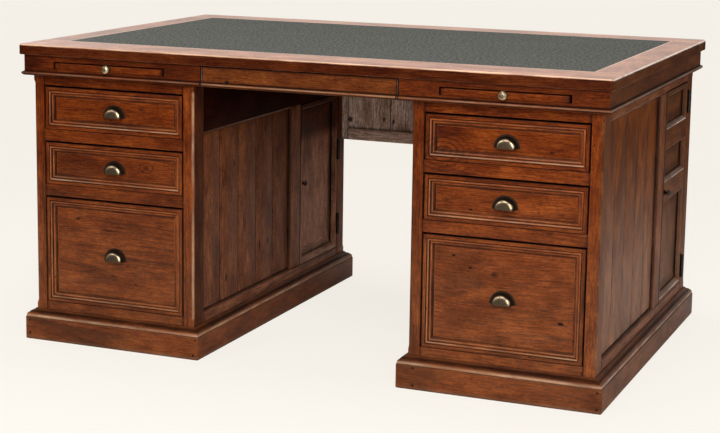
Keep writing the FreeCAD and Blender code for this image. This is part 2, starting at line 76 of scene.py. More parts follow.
# labels the triangles of a node by solid: corners in one place share a label, and so do a triangle's corners
def solidLabels(points, corners):
    same = np.unique(np.round(points, 5), axis=0, return_inverse=True)[1].ravel()[corners]
    label = np.arange(same.max() + 1)
    while True:
        lowest = label.copy()
        np.minimum.at(lowest, same.ravel(), np.repeat(label[same].min(1), 3))
        if (lowest == label).all():
            return label[same[:, 0]]
        label = lowest


def solidBoxes(node):
    points, corners = meshArrays(node)
    labels = solidLabels(points, corners)
    boxes = []
    for label in np.unique(labels):
        own = points[corners[labels == label]].reshape(-1, 3)
        boxes.append((own.min(0), own.max(0)))
    return sorted(boxes, key=lambda box: tuple(np.round(box[0], 4)))


# Boards and shapes
# Each face knows the board that it is cut from: "grain" is metres along, across and into that board, counted
# from a heart that lies some way off; "rimLow" and "rimHigh" are the distances to its ends and edges; "age"
# is polish worn off, with painted highlights in places, dirt, with painted shade in places, and the board's
# own tone, which on some rails is painted shade.

def makeBoard(rng, low, high, along, edges=True):
    low, high = np.array(low, float), np.array(high, float)
    others = sorted([axis for axis in range(3) if axis != along], key=lambda axis: low[axis] - high[axis])
    return {
        "order": [along] + others,
        "low": low,
        "high": high,
        "edges": edges,
        "shift": np.array([rng.uniform(1, 40), rng.uniform(-0.07, 0.07), rng.uniform(0.03, 0.10)]),
        "tone": rng.uniform(0, 1),
    }


def longest(low, high):
    return int(np.argmax(np.array(high) - np.array(low)))


layers = ("grain", "rimLow", "rimHigh", "age")


def newShape():
    return dict({part: [] for part in ("points", "loops", "sizes") + layers}, count=0)


def addFaces(shape, points, faces, board, wearAndHighlight=0.0, dirtAndShade=0.0):
    order = board["order"]
    values = {
        "grain": (points - (board["low"] + board["high"]) / 2)[:, order] + board["shift"],
        "rimLow": (points - board["low"])[:, order] if board["edges"] else np.ones_like(points),
        "rimHigh": (board["high"] - points)[:, order] if board["edges"] else np.ones_like(points),
        "age": np.stack(np.broadcast_arrays(wearAndHighlight, dirtAndShade, np.full(len(points), board["tone"])), 1),
    }
    for name, value in values.items():
        shape[name].append(value[faces.ravel()])
    shape["points"].append(points)
    shape["loops"].append(faces.ravel() + shape["count"])
    shape["sizes"].append(np.full(len(faces), faces.shape[1]))
    shape["count"] += len(points)


# a grid of points becomes quads; it may close on itself either way, and keep leaves cells out
def addGrid(shape, grid, board, wearAndHighlight=0.0, dirtAndShade=0.0, closeU=False, closeV=False, keep=None):
    rows, columns = grid.shape[:2]
    index = np.arange(rows * columns).reshape(rows, columns)
    if closeU:
        index = np.concatenate([index, index[:1]])
    if closeV:
        index = np.concatenate([index, index[:, :1]], 1)
    faces = np.stack([index[:-1, :-1], index[1:, :-1], index[1:, 1:], index[:-1, 1:]], -1)
    faces = faces.reshape(-1, 4) if keep is None else faces[keep]
    wearAndHighlight = np.broadcast_to(wearAndHighlight, (rows, columns)).ravel()
    dirtAndShade = np.broadcast_to(dirtAndShade, (rows, columns)).ravel()
    addFaces(shape, grid.reshape(-1, 3), faces, board, wearAndHighlight, dirtAndShade)


def addCap(shape, loop, board, wearAndHighlight=0.0):
    addFaces(shape, loop, np.arange(len(loop))[None], board, wearAndHighlight)


def makePiece(name, shape, material, stands, body="carcass", sides=None):
    points = np.concatenate(shape["points"])
    loops = np.concatenate(shape["loops"])
    sizes = np.concatenate(shape["sizes"])
    key = np.round(points / weldStep).astype(np.int64)
    first, same = np.unique(key, axis=0, return_index=True, return_inverse=True)[1:]
    mesh = bpy.data.meshes.new(name)
    mesh.vertices.add(len(first))
    mesh.vertices.foreach_set("co", points[first].astype(np.float32).ravel())
    mesh.loops.add(len(loops))
    mesh.loops.foreach_set("vertex_index", same.ravel()[loops].astype(np.int32))
    mesh.polygons.add(len(sizes))
    mesh.polygons.foreach_set("loop_start", (np.cumsum(sizes) - sizes).astype(np.int32))
    mesh.update(calc_edges=True)
    for layer in layers:
        values = np.concatenate(shape[layer]).astype(np.float32)
        mesh.attributes.new(layer, "FLOAT_VECTOR", "CORNER").data.foreach_set("vector", values.ravel())
    work = bmesh.new()
    work.from_mesh(mesh)
    bmesh.ops.recalc_face_normals(work, faces=work.faces)
    work.to_mesh(mesh)
    work.free()
    mesh.shade_smooth()
    mesh.set_sharp_from_angle(angle=math.radians(sharpAngle))
    mesh.materials.append(material)
    if sides:                       # other finishes for the faces that look along an axis
        normals = np.empty(len(mesh.polygons) * 3)
        mesh.polygons.foreach_get("normal", normals)
        chosen = np.zeros(len(mesh.polygons), np.int32)
        for axis, finish in sides.items():
            chosen[abs(normals[axis::3]) > facing] = len(mesh.materials)
            mesh.materials.append(finish)
        mesh.polygons.foreach_set("material_index", chosen)
    piece = bpy.data.objects.new(name, mesh)
    bpy.context.scene.collection.objects.link(piece)
    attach(piece, body)
    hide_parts(*stands)


# a slow uneven line: three sines of unlike lengths added up
def wander(rng, along, length):
    phase = rng.uniform(0, 2 * np.pi, 3)
    waves = along[:, None] * np.array([1.0, 1.7, 3.1]) * 2 * np.pi / length
    return np.sin(waves + phase) @ np.array([0.5, 0.3, 0.2])


# points on the circle through three points, from the first to the last
def arcThrough(first, middle, last, count=9):
    first, middle, last = (np.array(point, float) for point in (first, middle, last))
    rows = np.stack([middle - first, last - first])
    centre = np.linalg.solve(2 * rows, (np.stack([middle, last]) ** 2).sum(1) - (first ** 2).sum())
    turn = [math.atan2(*(point - centre)[::-1]) for point in (first, middle, last)]
    sweep = (turn[2] - turn[0]) % (2 * math.pi)
    if (turn[1] - turn[0]) % (2 * math.pi) > sweep:
        sweep -= 2 * math.pi
    angles = turn[0] + sweep * np.linspace(0, 1, count)
    return centre + np.hypot(*(first - centre)) * np.stack([np.cos(angles), np.sin(angles)], 1)


cornerSigns = np.array([(1, 1), (-1, 1), (-1, -1), (1, -1)], float)
board = {"rowStep": 32 * mm, "wanderLength": 0.5, "unevenness": 0.3}


# a board: a rectangle with round corners carried along its length. Over the last radius at each end the
# rectangle draws in by r - sqrt(r*r - (r - u)^2), which rounds the ends. A chamfer swells one corner and
# flattens its arc.
def addBar(shape, rng, low, high, radius, along=None, softer=None, chamfer=None, gap=0.0, tone=None):
    low, high = np.array(low, float), np.array(high, float)
    along = longest(low, high) if along is None else along
    own = makeBoard(rng, low, high, along)
    if tone is not None:
        own["tone"] = tone
    sideA, sideB = (along + 1) % 3, (along + 2) % 3
    middle, half = (low + high) / 2, (high - low) / 2
    half[[sideA, sideB]] -= gap
    length = 2 * half[along]
    out = radius * (1 - np.cos(np.radians([0, 30, 60, 90])))
    between = np.linspace(radius, length - radius, max(2, int(length / board["rowStep"])))[1:-1]
    rows = [out, between, length - out]
    if chamfer:
        rows.append(np.array(chamfer["stations"]) - low[along])
    rows = np.unique(np.round(np.concatenate(rows), 6))
    near = np.minimum(np.minimum(rows, length - rows), radius)
    inset = (radius - np.sqrt(np.maximum(radius ** 2 - (radius - near) ** 2, 0)))[:, None]
    corner = np.full(4, radius)
    if softer:
        axis, side, bigger = softer
        corner = np.where(cornerSigns[:, 0 if axis == sideA else 1] == side, bigger, corner)
    uneven = np.stack([wander(rng, rows, board["wanderLength"]) for _ in range(4)], 1)
    sweep = corner * (1 + board["unevenness"] * uneven)
    flat = np.zeros_like(sweep)
    wearAndHighlight, dirtAndShade = np.zeros((2, len(rows), 16))
    if chamfer:
        which = int(np.argmax((cornerSigns == chamfer["corner"]).all(1)))
        share = np.interp(rows + low[along], chamfer["stations"], [0, 1, 1, 0])
        sweep[:, which] += share * (chamfer["leg"] - sweep[:, which])
        flat[:, which] = share
        # a chamfer can be painted pale, as a reflection, and the face towards sideA dark, as shade
        wearAndHighlight[:, 4 * which + 1:4 * which + 3] = chamfer["wearAndHighlight"] * share[:, None]
        dirtAndShade[:, [0, 15]] = chamfer["dirtAndShade"]
    sweep = np.maximum(sweep - inset, 0.03 * mm)
    turn = np.radians([0, 30, 60, 90]) + np.radians([0, 90, 180, 270])[:, None]
    arc = np.stack([np.cos(turn), np.sin(turn)], -1)
    chord = arc[:, :1] + (arc[:, -1:] - arc[:, :1]) * np.array([0, 0.25, 0.75, 1])[:, None]
    curve = arc + flat[:, :, None, None] * (chord - arc)
    edge = np.stack([half[sideA] - inset - sweep, half[sideB] - inset - sweep], -1) * cornerSigns
    section = edge[:, :, None] + sweep[:, :, None, None] * curve
    grid = np.empty((len(rows), 16, 3))
    grid[..., along] = (low[along] + rows)[:, None]
    grid[..., sideA] = middle[sideA] + section[..., 0].reshape(len(rows), 16)
    grid[..., sideB] = middle[sideB] + section[..., 1].reshape(len(rows), 16)
    addGrid(shape, grid, own, wearAndHighlight, dirtAndShade, closeV=True)
    addCap(shape, grid[0], own)
    addCap(shape, grid[-1], own)


# a profile round a rectangle: each profile point is an inset from the outline and a height off its plane,
# with wear and dirt that hold painted highlight and shade in places, and each straight side scales them by
# its own factor, which paints sides lighter and darker by how they face the light. Sides meet in mitres, or
# round a small arc where cornerRadius is given.
def addRing(shape, rng, place, width, height, profile, cornerRadius=0.0, closed=False, paling=(1, 1, 1, 1),
            darkening=(1, 1, 1, 1), tone=None):
    origin, across, rise, normal = place
    inset, level, wearAndHighlight, dirtAndShade = (np.array(profile, float)[:, column] for column in range(4))
    half = np.array([width, height]) / 2
    middle = origin + across * half[0] + rise * half[1]
    soft = np.maximum(cornerRadius - inset, 0.0)
    ends = []
    for signX, signY in cornerSigns[[2, 3, 0, 1]]:
        ends.append((half - inset[:, None] - soft[:, None]) * np.array([signX, signY]))
    outline = [np.array([0.0, -1.0]), np.array([1.0, 0.0]), np.array([0.0, 1.0]), np.array([-1.0, 0.0])]

    def laid(flat):
        return middle + flat[..., :1] * across + flat[..., 1:] * rise + level[:, None, None] * normal

    for index in range(4):
        outward = outline[index] * soft[:, None]
        flat = np.stack([ends[index] + outward, ends[(index + 1) % 4] + outward], 1)
        grid = laid(flat)
        low, high = grid.min((0, 1)), grid.max((0, 1))
        own = makeBoard(rng, low, high, longest(low, high), False)
        own["tone"] = own["tone"] if tone is None else tone
        addGrid(shape, grid, own, wearAndHighlight[:, None] * paling[index], dirtAndShade[:, None] * darkening[index], closeU=closed)
        if cornerRadius:
            turn = np.radians(-90 + 90 * index + np.linspace(0, 90, 6))
            arc = np.stack([np.cos(turn), np.sin(turn)], -1)
            flat = ends[(index + 1) % 4][:, None] + soft[:, None, None] * arc
            addGrid(shape, laid(flat), own, wearAndHighlight[:, None], dirtAndShade[:, None], closeU=closed)


# one straight moulded length: each profile point lies an inset behind the face and a height above the foot,
# and a mitred end is drawn in by the inset. A slot leaves its cells out of front and back and walls them in
# between.
def addRun(shape, own, start, along, inward, length, profile, mitres=(0, 0), slot=None):
    inset, level, wearAndHighlight, dirtAndShade = (np.array(profile, float)[:, column, None] for column in range(4))
    stations = [mitres[0] * inset]
    if slot:
        stations += [np.full_like(inset, slot["start"]), np.full_like(inset, slot["end"])]
    stations.append(length - mitres[1] * inset)
    reach = np.concatenate(stations, 1)
    inset, level = inset[:, 0], level[:, 0]
    grid = start + reach[..., None] * along + inset[:, None, None] * inward + level[:, None, None] * up
    keep = np.ones((len(inset), reach.shape[1] - 1), bool)
    if slot:
        rows = [int(np.argmin(np.abs(level - z) + np.abs(inset - d)))
                for d in (0, inset.max()) for z in (slot["low"], slot["high"])]
        keep[rows[0]:rows[1], 1] = False
        keep[rows[3]:rows[2], 1] = False
        # left and right of front low, front high, back low, back high
        walls = grid[rows][:, 1:3].reshape(-1, 3)
        faces = np.array([[0, 1, 5, 4], [2, 6, 7, 3], [0, 4, 6, 2], [1, 3, 7, 5]])
        # the slot's walls are painted dark, as shade
        addFaces(shape, walls, faces, own, 0.0, 1.0)
    addGrid(shape, grid, own, wearAndHighlight, dirtAndShade, closeU=True, keep=keep)
    addCap(shape, grid[:, 0], own)
    addCap(shape, grid[:, -1], own)


# a turned form: radius against distance out, with wear, which holds painted highlights in places, and dirt,
# carried round an axis. Half of one is open below: its profile is a closed loop, and its two lower faces are
# that loop.
def addTurned(shape, own, centre, axis, profile, half=False, rubAndHighlightAngles=None):
    radius, out, wearAndHighlight, dirtAndShade = np.array(profile, float).T[:, :, None]
    sideA = np.cross(up, axis)
    turn = np.linspace(0, np.pi, 41) if half else np.linspace(0, 2 * np.pi, 40, endpoint=False)
    ring = np.cos(turn)[:, None] * sideA + np.sin(turn)[:, None] * up
    grid = centre + out[:, :, None] * axis + radius[:, :, None] * ring
    # the wear at these angles is where the cup's highlights sit, so it also paints them
    if rubAndHighlightAngles:                     # rubbed most at these angles, fading off like a bell on both sides
        wearAndHighlight = wearAndHighlight * sum(share * np.exp(-((turn - angle) / reach) ** 2) for angle, reach, share in rubAndHighlightAngles)
    addGrid(shape, grid, own, wearAndHighlight, dirtAndShade, closeU=half, closeV=not half)
    for loop in ((grid[:, 0], grid[:, -1]) if half else (grid[0], grid[-1])):
        addCap(shape, loop, own, 0.3)


# a panel with sunk fields: the face is a grid of lines with the fields left out, rounded down by a circle at
# its outer arris, and each field gets the border profile as a ring and a flat floor
def addFielded(shape, rng, place, width, height, thickness, fields, look):
    origin, across, rise, normal = place
    radius, flat = look["arris"], look["flat"]
    soften = radius * np.array([0, 0.13, 0.5, 1])
    spansX = [(x, x + w) for x, z, w, h in fields]
    spansZ = [(z, z + h) for x, z, w, h in fields]
    lines = []
    for extent, spans in ((width, spansX), (height, spansZ)):
        lines.append(np.unique(np.round(np.concatenate([soften, extent - soften, np.ravel(spans)]), 6)))
    flatX, flatZ = np.meshgrid(*lines, indexing="ij")
    near = np.minimum(np.minimum(flatX, width - flatX), np.minimum(flatZ, height - flatZ))
    level = -(radius - np.sqrt(np.maximum(radius ** 2 - np.maximum(radius - near, 0) ** 2, 0)))
    grid = origin + flatX[..., None] * across + flatZ[..., None] * rise + level[..., None] * normal
    # the face darkens towards its outer arris, a painted shade of the gap round it
    dirtAndShade = np.clip(1.2 - near / radius, 0, 1)
    midX, midZ = np.meshgrid(*[(line[1:] + line[:-1]) / 2 for line in lines], indexing="ij")
    framed = np.ones(midX.shape, bool)
    for x, z, w, h in fields:
        framed &= ~((midX > x) & (midX < x + w) & (midZ > z) & (midZ < z + h))
    upright = (midX < flat) | (midX > width - flat)
    low, high = grid.min((0, 1)), grid.max((0, 1))
    levelAxis = int(np.argmax(abs(across)))
    for stile in (upright & (midX < width / 2), upright & (midX > width / 2)):
        addGrid(shape, grid, makeBoard(rng, low, high, 2, False), 0.0, dirtAndShade, keep=stile & framed)
    bands = np.unique(np.round(np.append(np.ravel(spansZ), [0.0, height]), 6))
    for lowZ, highZ in zip(bands[:-1], bands[1:]):
        cells = ~upright & framed & (midZ > lowZ) & (midZ < highZ)
        if cells.any():
            addGrid(shape, grid, makeBoard(rng, low, high, levelAxis, False), 0.0, dirtAndShade, keep=cells)
    back = makeBoard(rng, low, high, levelAxis, False)
    rim = np.concatenate([grid[:-1, 0], grid[-1, :-1], grid[:0:-1, -1], grid[0, :0:-1]])
    behind = rim + normal * (-thickness - ((rim - origin) @ normal))[:, None]
    # the edges all round are painted dark, as shade in the gap
    addGrid(shape, np.stack([rim, behind]), back, 0.0, 1.0, closeV=True)
    addCap(shape, behind, back)
    for x, z, w, h in fields:
        corner = origin + x * across + z * rise
        addRing(shape, rng, (corner, across, rise, normal), w, h, look["border"], paling=look["paling"],
                darkening=look["darkening"], tone=look["borderTone"])
        inset, sunk = look["border"][-1][:2]
        floor = [(inset, inset), (w - inset, inset), (w - inset, h - inset), (inset, h - inset)]
        loop = np.array([corner + a * across + b * rise + sunk * normal for a, b in floor])
        floor = makeBoard(rng, loop.min(0), loop.max(0), look["fieldAlong"], False)
        floor["tone"] += look["fieldTone"]
        addCap(shape, loop, floor)


# a copy of a node's own mesh, with the board that each of its solids is cut from; a board with spare length
# is taken to run on past its ends, where it is joined to others
def addNodeCopy(shape, rng, node, spare=0.0):
    points, corners = meshArrays(node)
    labels = solidLabels(points, corners)
    for label in np.unique(labels):
        faces = corners[labels == label]
        used, index = np.unique(faces, return_inverse=True)
        own = points[used]
        along = longest(own.min(0), own.max(0))
        cutFrom = makeBoard(rng, own.min(0), own.max(0), along)
        cutFrom["low"][along] -= spare
        cutFrom["high"][along] += spare
        addFaces(shape, own, index.reshape(-1, 3), cutFrom)


# Shaders
# A wire is one output of a node. Sums, products and the like of wires are nodes in their turn; they work on
# vectors where one of the two is a vector or a colour.

class Wire:
    def __init__(self, tree, socket):
        self.tree = tree
        self.socket = socket

    def __add__(self, other):
        return calc("ADD", self, other)

    def __sub__(self, other):
        return calc("SUBTRACT", self, other)

    def __rsub__(self, other):
        return calc("SUBTRACT", other, self)

    def __mul__(self, other):
        return calc("MULTIPLY", self, other)

    def __truediv__(self, other):
        return calc("DIVIDE", self, other)

    def __pow__(self, other):
        return calc("POWER", self, other)


def feed(tree, node, inputs):       # each input gets a wire or a value
    for name, value in inputs.items():
        if isinstance(value, Wire):
            tree.links.new(value.socket, node.inputs[name])
        else:
            node.inputs[name].default_value = value


def outputsOf(tree, kind, inputs=None, **settings):     # a new node's wires, by number and by name
    made = tree.nodes.new("ShaderNode" + kind)
    for name, value in settings.items():
        setattr(made, name, value)
    feed(tree, made, inputs or {})
    wires = [Wire(tree, socket) for socket in made.outputs]
    return {**dict(enumerate(wires)), **{wire.socket.name: wire for wire in wires}}


def addNode(tree, kind, inputs=None, output=0, **settings):
    return outputsOf(tree, kind, inputs, **settings)[output]


def isVector(value):
    return value.socket.type != "VALUE" if isinstance(value, Wire) else isinstance(value, tuple)


def calc(operation, *values, clamp=False):
    tree = next(value.tree for value in values if isinstance(value, Wire))
    if not any(isVector(value) for value in values):
        return addNode(tree, "Math", dict(enumerate(values)), operation=operation, use_clamp=clamp)
    triples = [(value,) * 3 if isinstance(value, float) else value for value in values]
    output = "Value" if operation in ("LENGTH", "DOT_PRODUCT") else "Vector"
    return addNode(tree, "VectorMath", dict(enumerate(triples)), output, operation=operation)


def ramped(value, low, high, toLow=0.0, toHigh=1.0):
    inputs = {"Value": value, "From Min": low, "From Max": high, "To Min": toLow, "To Max": toHigh}
    return addNode(value.tree, "MapRange", inputs, interpolation_type="SMOOTHSTEP")


def mixed(factor, first, second):
    return addNode(factor.tree, "Mix", {0: factor, 6: first, 7: second}, 2, data_type="RGBA")


def noised(vector, stretch, detail=2.0, rough=0.5, output=0):
    inputs = {"Vector": vector * stretch, "Scale": 1.0, "Detail": detail, "Roughness": rough}
    return addNode(vector.tree, "TexNoise", inputs, output)


def bumped(height, strength, depth=0.6 * mm):
    return addNode(height.tree, "Bump", {"Height": height, "Strength": strength, "Distance": depth})


def split(vector):
    return outputsOf(vector.tree, "SeparateXYZ", {0: vector})


def objectPlace(tree):
    return addNode(tree, "TexCoord", output="Object")


def attribute(tree, name):
    return addNode(tree, "Attribute", output="Vector", attribute_name=name)


def emptyTree(owner):
    owner.use_nodes = True
    owner.node_tree.nodes.clear()
    return owner.node_tree


def newMaterial(name):
    made = bpy.data.materials.new(name)
    tree = emptyTree(made)
    shader = tree.nodes.new("ShaderNodeBsdfPrincipled")
    feed(tree, tree.nodes.new("ShaderNodeOutputMaterial"), {"Surface": Wire(tree, shader.outputs[0])})
    return made, tree, shader


def newGroup(name, vectors, numbers):
    tree = bpy.data.node_groups.new(name, "ShaderNodeTree")
    for kind, labels in (("Vector", vectors), ("Float", numbers)):
        for label in labels:
            tree.interface.new_socket(label, in_out="INPUT", socket_type="NodeSocket" + kind)
    given = tree.nodes.new("NodeGroupInput").outputs
    return tree, {label: Wire(tree, given[label]) for label in vectors + numbers}


def closeGroup(tree, results):
    for label in results:
        tree.interface.new_socket(label, in_out="OUTPUT", socket_type="NodeSocketFloat")
    feed(tree, tree.nodes.new("NodeGroupOutput"), results)
    return tree


# spots scattered over a board: the nearest point of a cell pattern, measured back in metres, and drawn out
# along the grain by the squeeze
def scattered(grain, stretch, share, small, large, squeeze):
    flat = grain * stretch
    cell = outputsOf(grain.tree, "TexVoronoi", {"Vector": flat, "Scale": 1.0, "Randomness": 0.7},
                     voronoi_dimensions="2D")
    metres = calc("LENGTH", (flat - cell["Position"]) / stretch * (squeeze, 1.15, 0.0))
    draw = outputsOf(grain.tree, "SeparateColor", {0: cell["Color"]})
    return metres, draw[1] * (large - small) + small, calc("LESS_THAN", draw[0], share)


knotSettings = ("Ring Spacing", "Knot Share", "Hole Share")
wearSettings = ("Wear Width", "Wear Break", "Grime Reach", "End Dirt")


# growth rings round the heart, pushed aside by knots; their dark lines show in some stretches only
def makeGrainGroup():
    tree, given = newGroup("boardGrain", ("Grain",), ("Pull",) + knotSettings)
    grain = given["Grain"]
    metres, size, there = scattered(grain, (2.3, 6.0, 1.0), given["Knot Share"], 2.2 * mm, 5.5 * mm, 0.5)
    reach = metres / (size * 2.6)
    pull = calc("EXPONENT", reach ** 2.0 * -1.0) * there + given["Pull"]
    knot = ramped(metres / size, 1.05, 0.45) * there
    bend = noised(grain, (1.5, 6.0, 6.0), output=1) - 0.5
    fine = noised(grain, (9.0, 45.0, 45.0), 1.0, output=1) - 0.5
    bent = grain + bend * (0.0, 0.05, 0.05) + fine * (0.0, 0.004, 0.004)
    radius = calc("LENGTH", bent * (0.02, 1.0, 1.0))
    rings = (pull * 0.02 + radius) / given["Ring Spacing"]
    share = calc("FRACT", rings)
    late = ramped(share, 0.25, 0.88) * ramped(share, 1.0, 0.9)
    count = addNode(tree, "TexWhiteNoise", {"W": calc("FLOOR", rings)}, "Value", noise_dimensions="1D")
    shows = ramped(noised(grain, (2.5, 9.0, 9.0)), 0.38, 0.62, 0.25, 1.0)
    figure = late * (count * 0.7 + 0.3) * calc("MAXIMUM", shows, pull, clamp=True)
    fibre = noised(bent, (18.0, 400.0, 400.0), 3.0, 0.6) * 0.6
    fibre = noised(bent, (110.0, 480.0, 480.0), 2.0, 0.6) * 0.4 + fibre
    streak = ramped(noised(bent, (3.0, 150.0, 150.0), 3.0, 0.6), 0.6, 0.76)
    mottle = noised(grain, (9.0, 18.0, 18.0), 5.0, 0.7)
    pore = ramped(noised(grain, (60.0, 1100.0, 1100.0), 1.0), 0.6, 0.75)
    metres, size, there = scattered(grain, (9.0, 10.5, 1.0), given["Hole Share"], 0.9 * mm, 2.1 * mm, 0.6)
    hole = ramped(metres / size, 1.2, 0.7) * there
    height = figure * 0.35 - pore * 0.25 - hole * 2.0 + mottle * 0.8
    return closeGroup(tree, {"Figure": figure, "Fibre": fibre, "Streak": streak, "Mottle": mottle,
                             "Knot": knot, "Hole": hole, "Height": height})


# wear follows the long edges, the free ends and the crests of mouldings, and in places carries a painted
# highlight; dirt sits at ends, dirt and painted shade in quirks, and painted shade darkens hollows and inside
# corners
def makeAgeGroup():
    tree, given = newGroup("edgeAge", ("Grain", "Rim Low", "Rim High", "Age"), wearSettings)
    rim = split(calc("MINIMUM", given["Rim Low"], given["Rim High"]))
    age = split(given["Age"])
    patch = noised(given["Grain"], (14.0, 40.0, 40.0), 4.0, 0.65)
    broad = noised(given["Grain"], (5.0, 12.0, 12.0))
    edge = calc("MAXIMUM", calc("MINIMUM", rim[0], rim[1]), rim[2])
    width = given["Wear Width"] * ramped(patch, 0.3, 0.7, 1.0 - given["Wear Break"], 1.2)
    paling = calc("SUBTRACT", 1.0, edge / width, clamp=True)
    crest = age[0] * ramped(patch, 0.25, 0.65, 0.25, 1.0)
    wornAndHighlit = calc("MAXIMUM", paling, crest) * ramped(broad, 0.35, 0.62, 0.45, 1.0)
    ends = ramped(rim[0], given["Grime Reach"] * ramped(patch, 0.3, 0.7, 0.3, 1.5), 0.0) * given["End Dirt"]
    patchy = ramped(patch, 0.2, 0.6, 0.6, 1.0)
    # painted shade: the occlusion of nearby surfaces darkens hollows and inside corners
    hollow = addNode(tree, "AmbientOcclusion", {"Distance": 9 * mm}, "AO", samples=4)
    hollowShade = ramped(hollow, 0.52, 0.16) * patchy
    dirtAndShadeMask = calc("MAXIMUM", calc("MAXIMUM", ends, age[1] * patchy), hollowShade)
    return closeGroup(tree, {"WornAndHighlit": wornAndHighlit, "DirtAndShadeMask": dirtAndShadeMask})


grainGroup = makeGrainGroup()
ageGroup = makeAgeGroup()


# single marks on the faces that show, each a spot round a place in millimetres: how far it reaches and how
# strong it is. Long ones are stretched along X, or upright where the stretch is below nought. Pulls push the
# rings aside.
def addMarks(tree, marks):
    place = objectPlace(tree)
    found = {"spot": 0.0, "smudge": 0.0, "pull": 0.0}
    ragged = (noised(place, (160.0, 160.0, 160.0), 3.0, 0.6, 1) - 0.5) * (4 * mm) + place
    for kind, x, y, z, reach, strength, stretch in marks:
        squeeze = (1 / stretch, 1.0, 1.0) if stretch > 0 else (1.0, 1.0, -1 / stretch)
        metres = calc("LENGTH", (ragged - (x * mm, y * mm, z * mm)) * squeeze)
        core, far = (0.45, 1.1) if kind == "spot" else (0.0, 1.2)
        spot = ramped(metres, core * reach * mm, far * reach * mm, strength, 0.0)
        if kind == "swirl":         # rings round the place, a sixth of the reach apart
            spot *= ramped(calc("SINE", metres * (12 * math.pi / (reach * mm))), 0.2, 0.95)
            kind = "smudge"
        found[kind] = calc("MAXIMUM", found[kind], spot)
    return found


# stained boards: rings and streaks set the colour, a painted sheen of the pale floor pales them towards the
# floor, a painted shadow darkens them above a set height, glaze and painted shade darken quirks, and rubbing
# pales the arrises, with painted highlights in places
def makeTimber(name, look, marks=()):
    made, tree, shader = newMaterial(name)
    grain, rimLow, rimHigh, age = (attribute(tree, layer) for layer in ("grain", "rimLow", "rimHigh", "age"))
    found = addMarks(tree, marks)
    inputs = {label: look[label] for label in knotSettings}
    inputs.update({"Grain": grain, "Pull": found["pull"]})
    mask = outputsOf(tree, "Group", inputs, node_tree=grainGroup)
    inputs = {label: look[label] for label in wearSettings}
    inputs.update({"Grain": grain, "Rim Low": rimLow, "Rim High": rimHigh, "Age": age})
    aged = outputsOf(tree, "Group", inputs, node_tree=ageGroup)
    colour = mixed(mask["Figure"] * look["figure"], look["light"], look["mid"])
    colour = mixed(mask["Streak"] * look["streak"], colour, look["dark"])
    fibre = ramped(mask["Fibre"], 0.3, 0.7, 1 - look["fibre"], 1 + look["fibre"])
    mottle = ramped(mask["Mottle"], 0.3, 0.7, 1 - look["mottle"], 1 + look["mottle"])
    tone = split(age)[2] * (2 * look["tone"]) + (1 - look["tone"])
    rise = split(objectPlace(tree))[2]
    # painted shadow: above the given height the wood's colour, and the pale wash below, fall to a quarter
    paintedShadow = ramped(rise, look["paintedShadow"] - 0.02, look["paintedShadow"] + 0.02, 1.0, 0.25)
    shade = fibre * mottle * (tone * paintedShadow)
    warm = addNode(tree, "CombineXYZ", {0: shade, 1: shade ** 1.35, 2: shade ** 1.6})
    # painted sheen of the pale floor: a pale wash that grows towards the floor
    low = ramped(rise, 0.62, 0.15) * ramped(mask["Mottle"], 0.3, 0.7, 0.7, 1.3) * paintedShadow
    shaded = colour * warm + low * look["bloomAndSheen"]
    colour = mixed(calc("MAXIMUM", mask["Knot"] * 0.85, found["smudge"]), shaded, look["knot"])
    pale = ramped(rise, look["wearFrom"], look["wearFrom"] + 0.006) * look["wearAndHighlight"]
    colour = mixed(calc("MULTIPLY", aged["WornAndHighlit"], tone * pale, clamp=True), colour, look["wornAndHighlit"])
    # dirt at ends and in quirks, and painted shade in hollows, darken the colour; seams add dirt
    dirtAndShadeMask = aged["DirtAndShadeMask"]
    if look["seam"]:                # dirt down the joints between boards laid side by side
        seam = ramped(split(calc("MINIMUM", rimLow, rimHigh))[1], look["seam"], 0.35 * look["seam"])
        dirtAndShadeMask = calc("MAXIMUM", dirtAndShadeMask, seam * 0.85)
    colour = mixed(dirtAndShadeMask * look["dirtAndShade"], colour, look["glazeAndShade"])
    colour = mixed(calc("MAXIMUM", mask["Hole"] * 0.95, found["spot"]), colour, look["hole"])
    feed(tree, shader, {
        "Base Color": colour,
        "Roughness": dirtAndShadeMask * 0.25 + (mask["Fibre"] * 0.16 + (look["rough"] - 0.08)),
        "Specular IOR Level": calc("MULTIPLY", tone, look["gloss"], clamp=True),
        "Normal": bumped(mask["Height"], look["bump"]),
    })
    return made


waxed = {
    "light": (0.150, 0.0265, 0.0028, 1), "mid": (0.056, 0.0072, 0.001, 1), "dark": (0.024, 0.0045, 0.0012, 1),
    "knot": (0.014, 0.004, 0.002, 1), "wornAndHighlit": (0.60, 0.36, 0.215, 1), "glazeAndShade": (0.004, 0.0016, 0.001, 1),
    "hole": (0.006, 0.003, 0.002, 1), "bloomAndSheen": (0.024, 0.0195, 0.0105), "figure": 0.9, "streak": 0.5,
    "fibre": 0.6, "mottle": 0.36, "tone": 0.10, "wearAndHighlight": 0.6, "dirtAndShade": 0.97, "rough": 0.40, "gloss": 0.10,
    "bump": 0.25, "paintedShadow": 9.0, "wearFrom": -1.0, "seam": 0.0, "Ring Spacing": 8.5 * mm, "Knot Share": 0.16,
    "Hole Share": 0.25, "Wear Width": 0.4 * mm, "Wear Break": 0.85, "Grime Reach": 10 * mm,
    "End Dirt": 0.7,
}
tanned = dict(waxed, light=(0.152, 0.036, 0.0065, 1), mid=(0.078, 0.015, 0.0028, 1))
dulled = dict(waxed, light=(0.134, 0.037, 0.0085, 1), mid=(0.068, 0.0175, 0.0042, 1), rough=0.46,
              dark=(0.026, 0.008, 0.004, 1), wornAndHighlit=(0.50, 0.36, 0.29, 1), bloomAndSheen=(0.02, 0.016, 0.014))
framing = dict(dulled, light=(0.190, 0.058, 0.019, 1), mid=(0.10, 0.028, 0.009, 1))
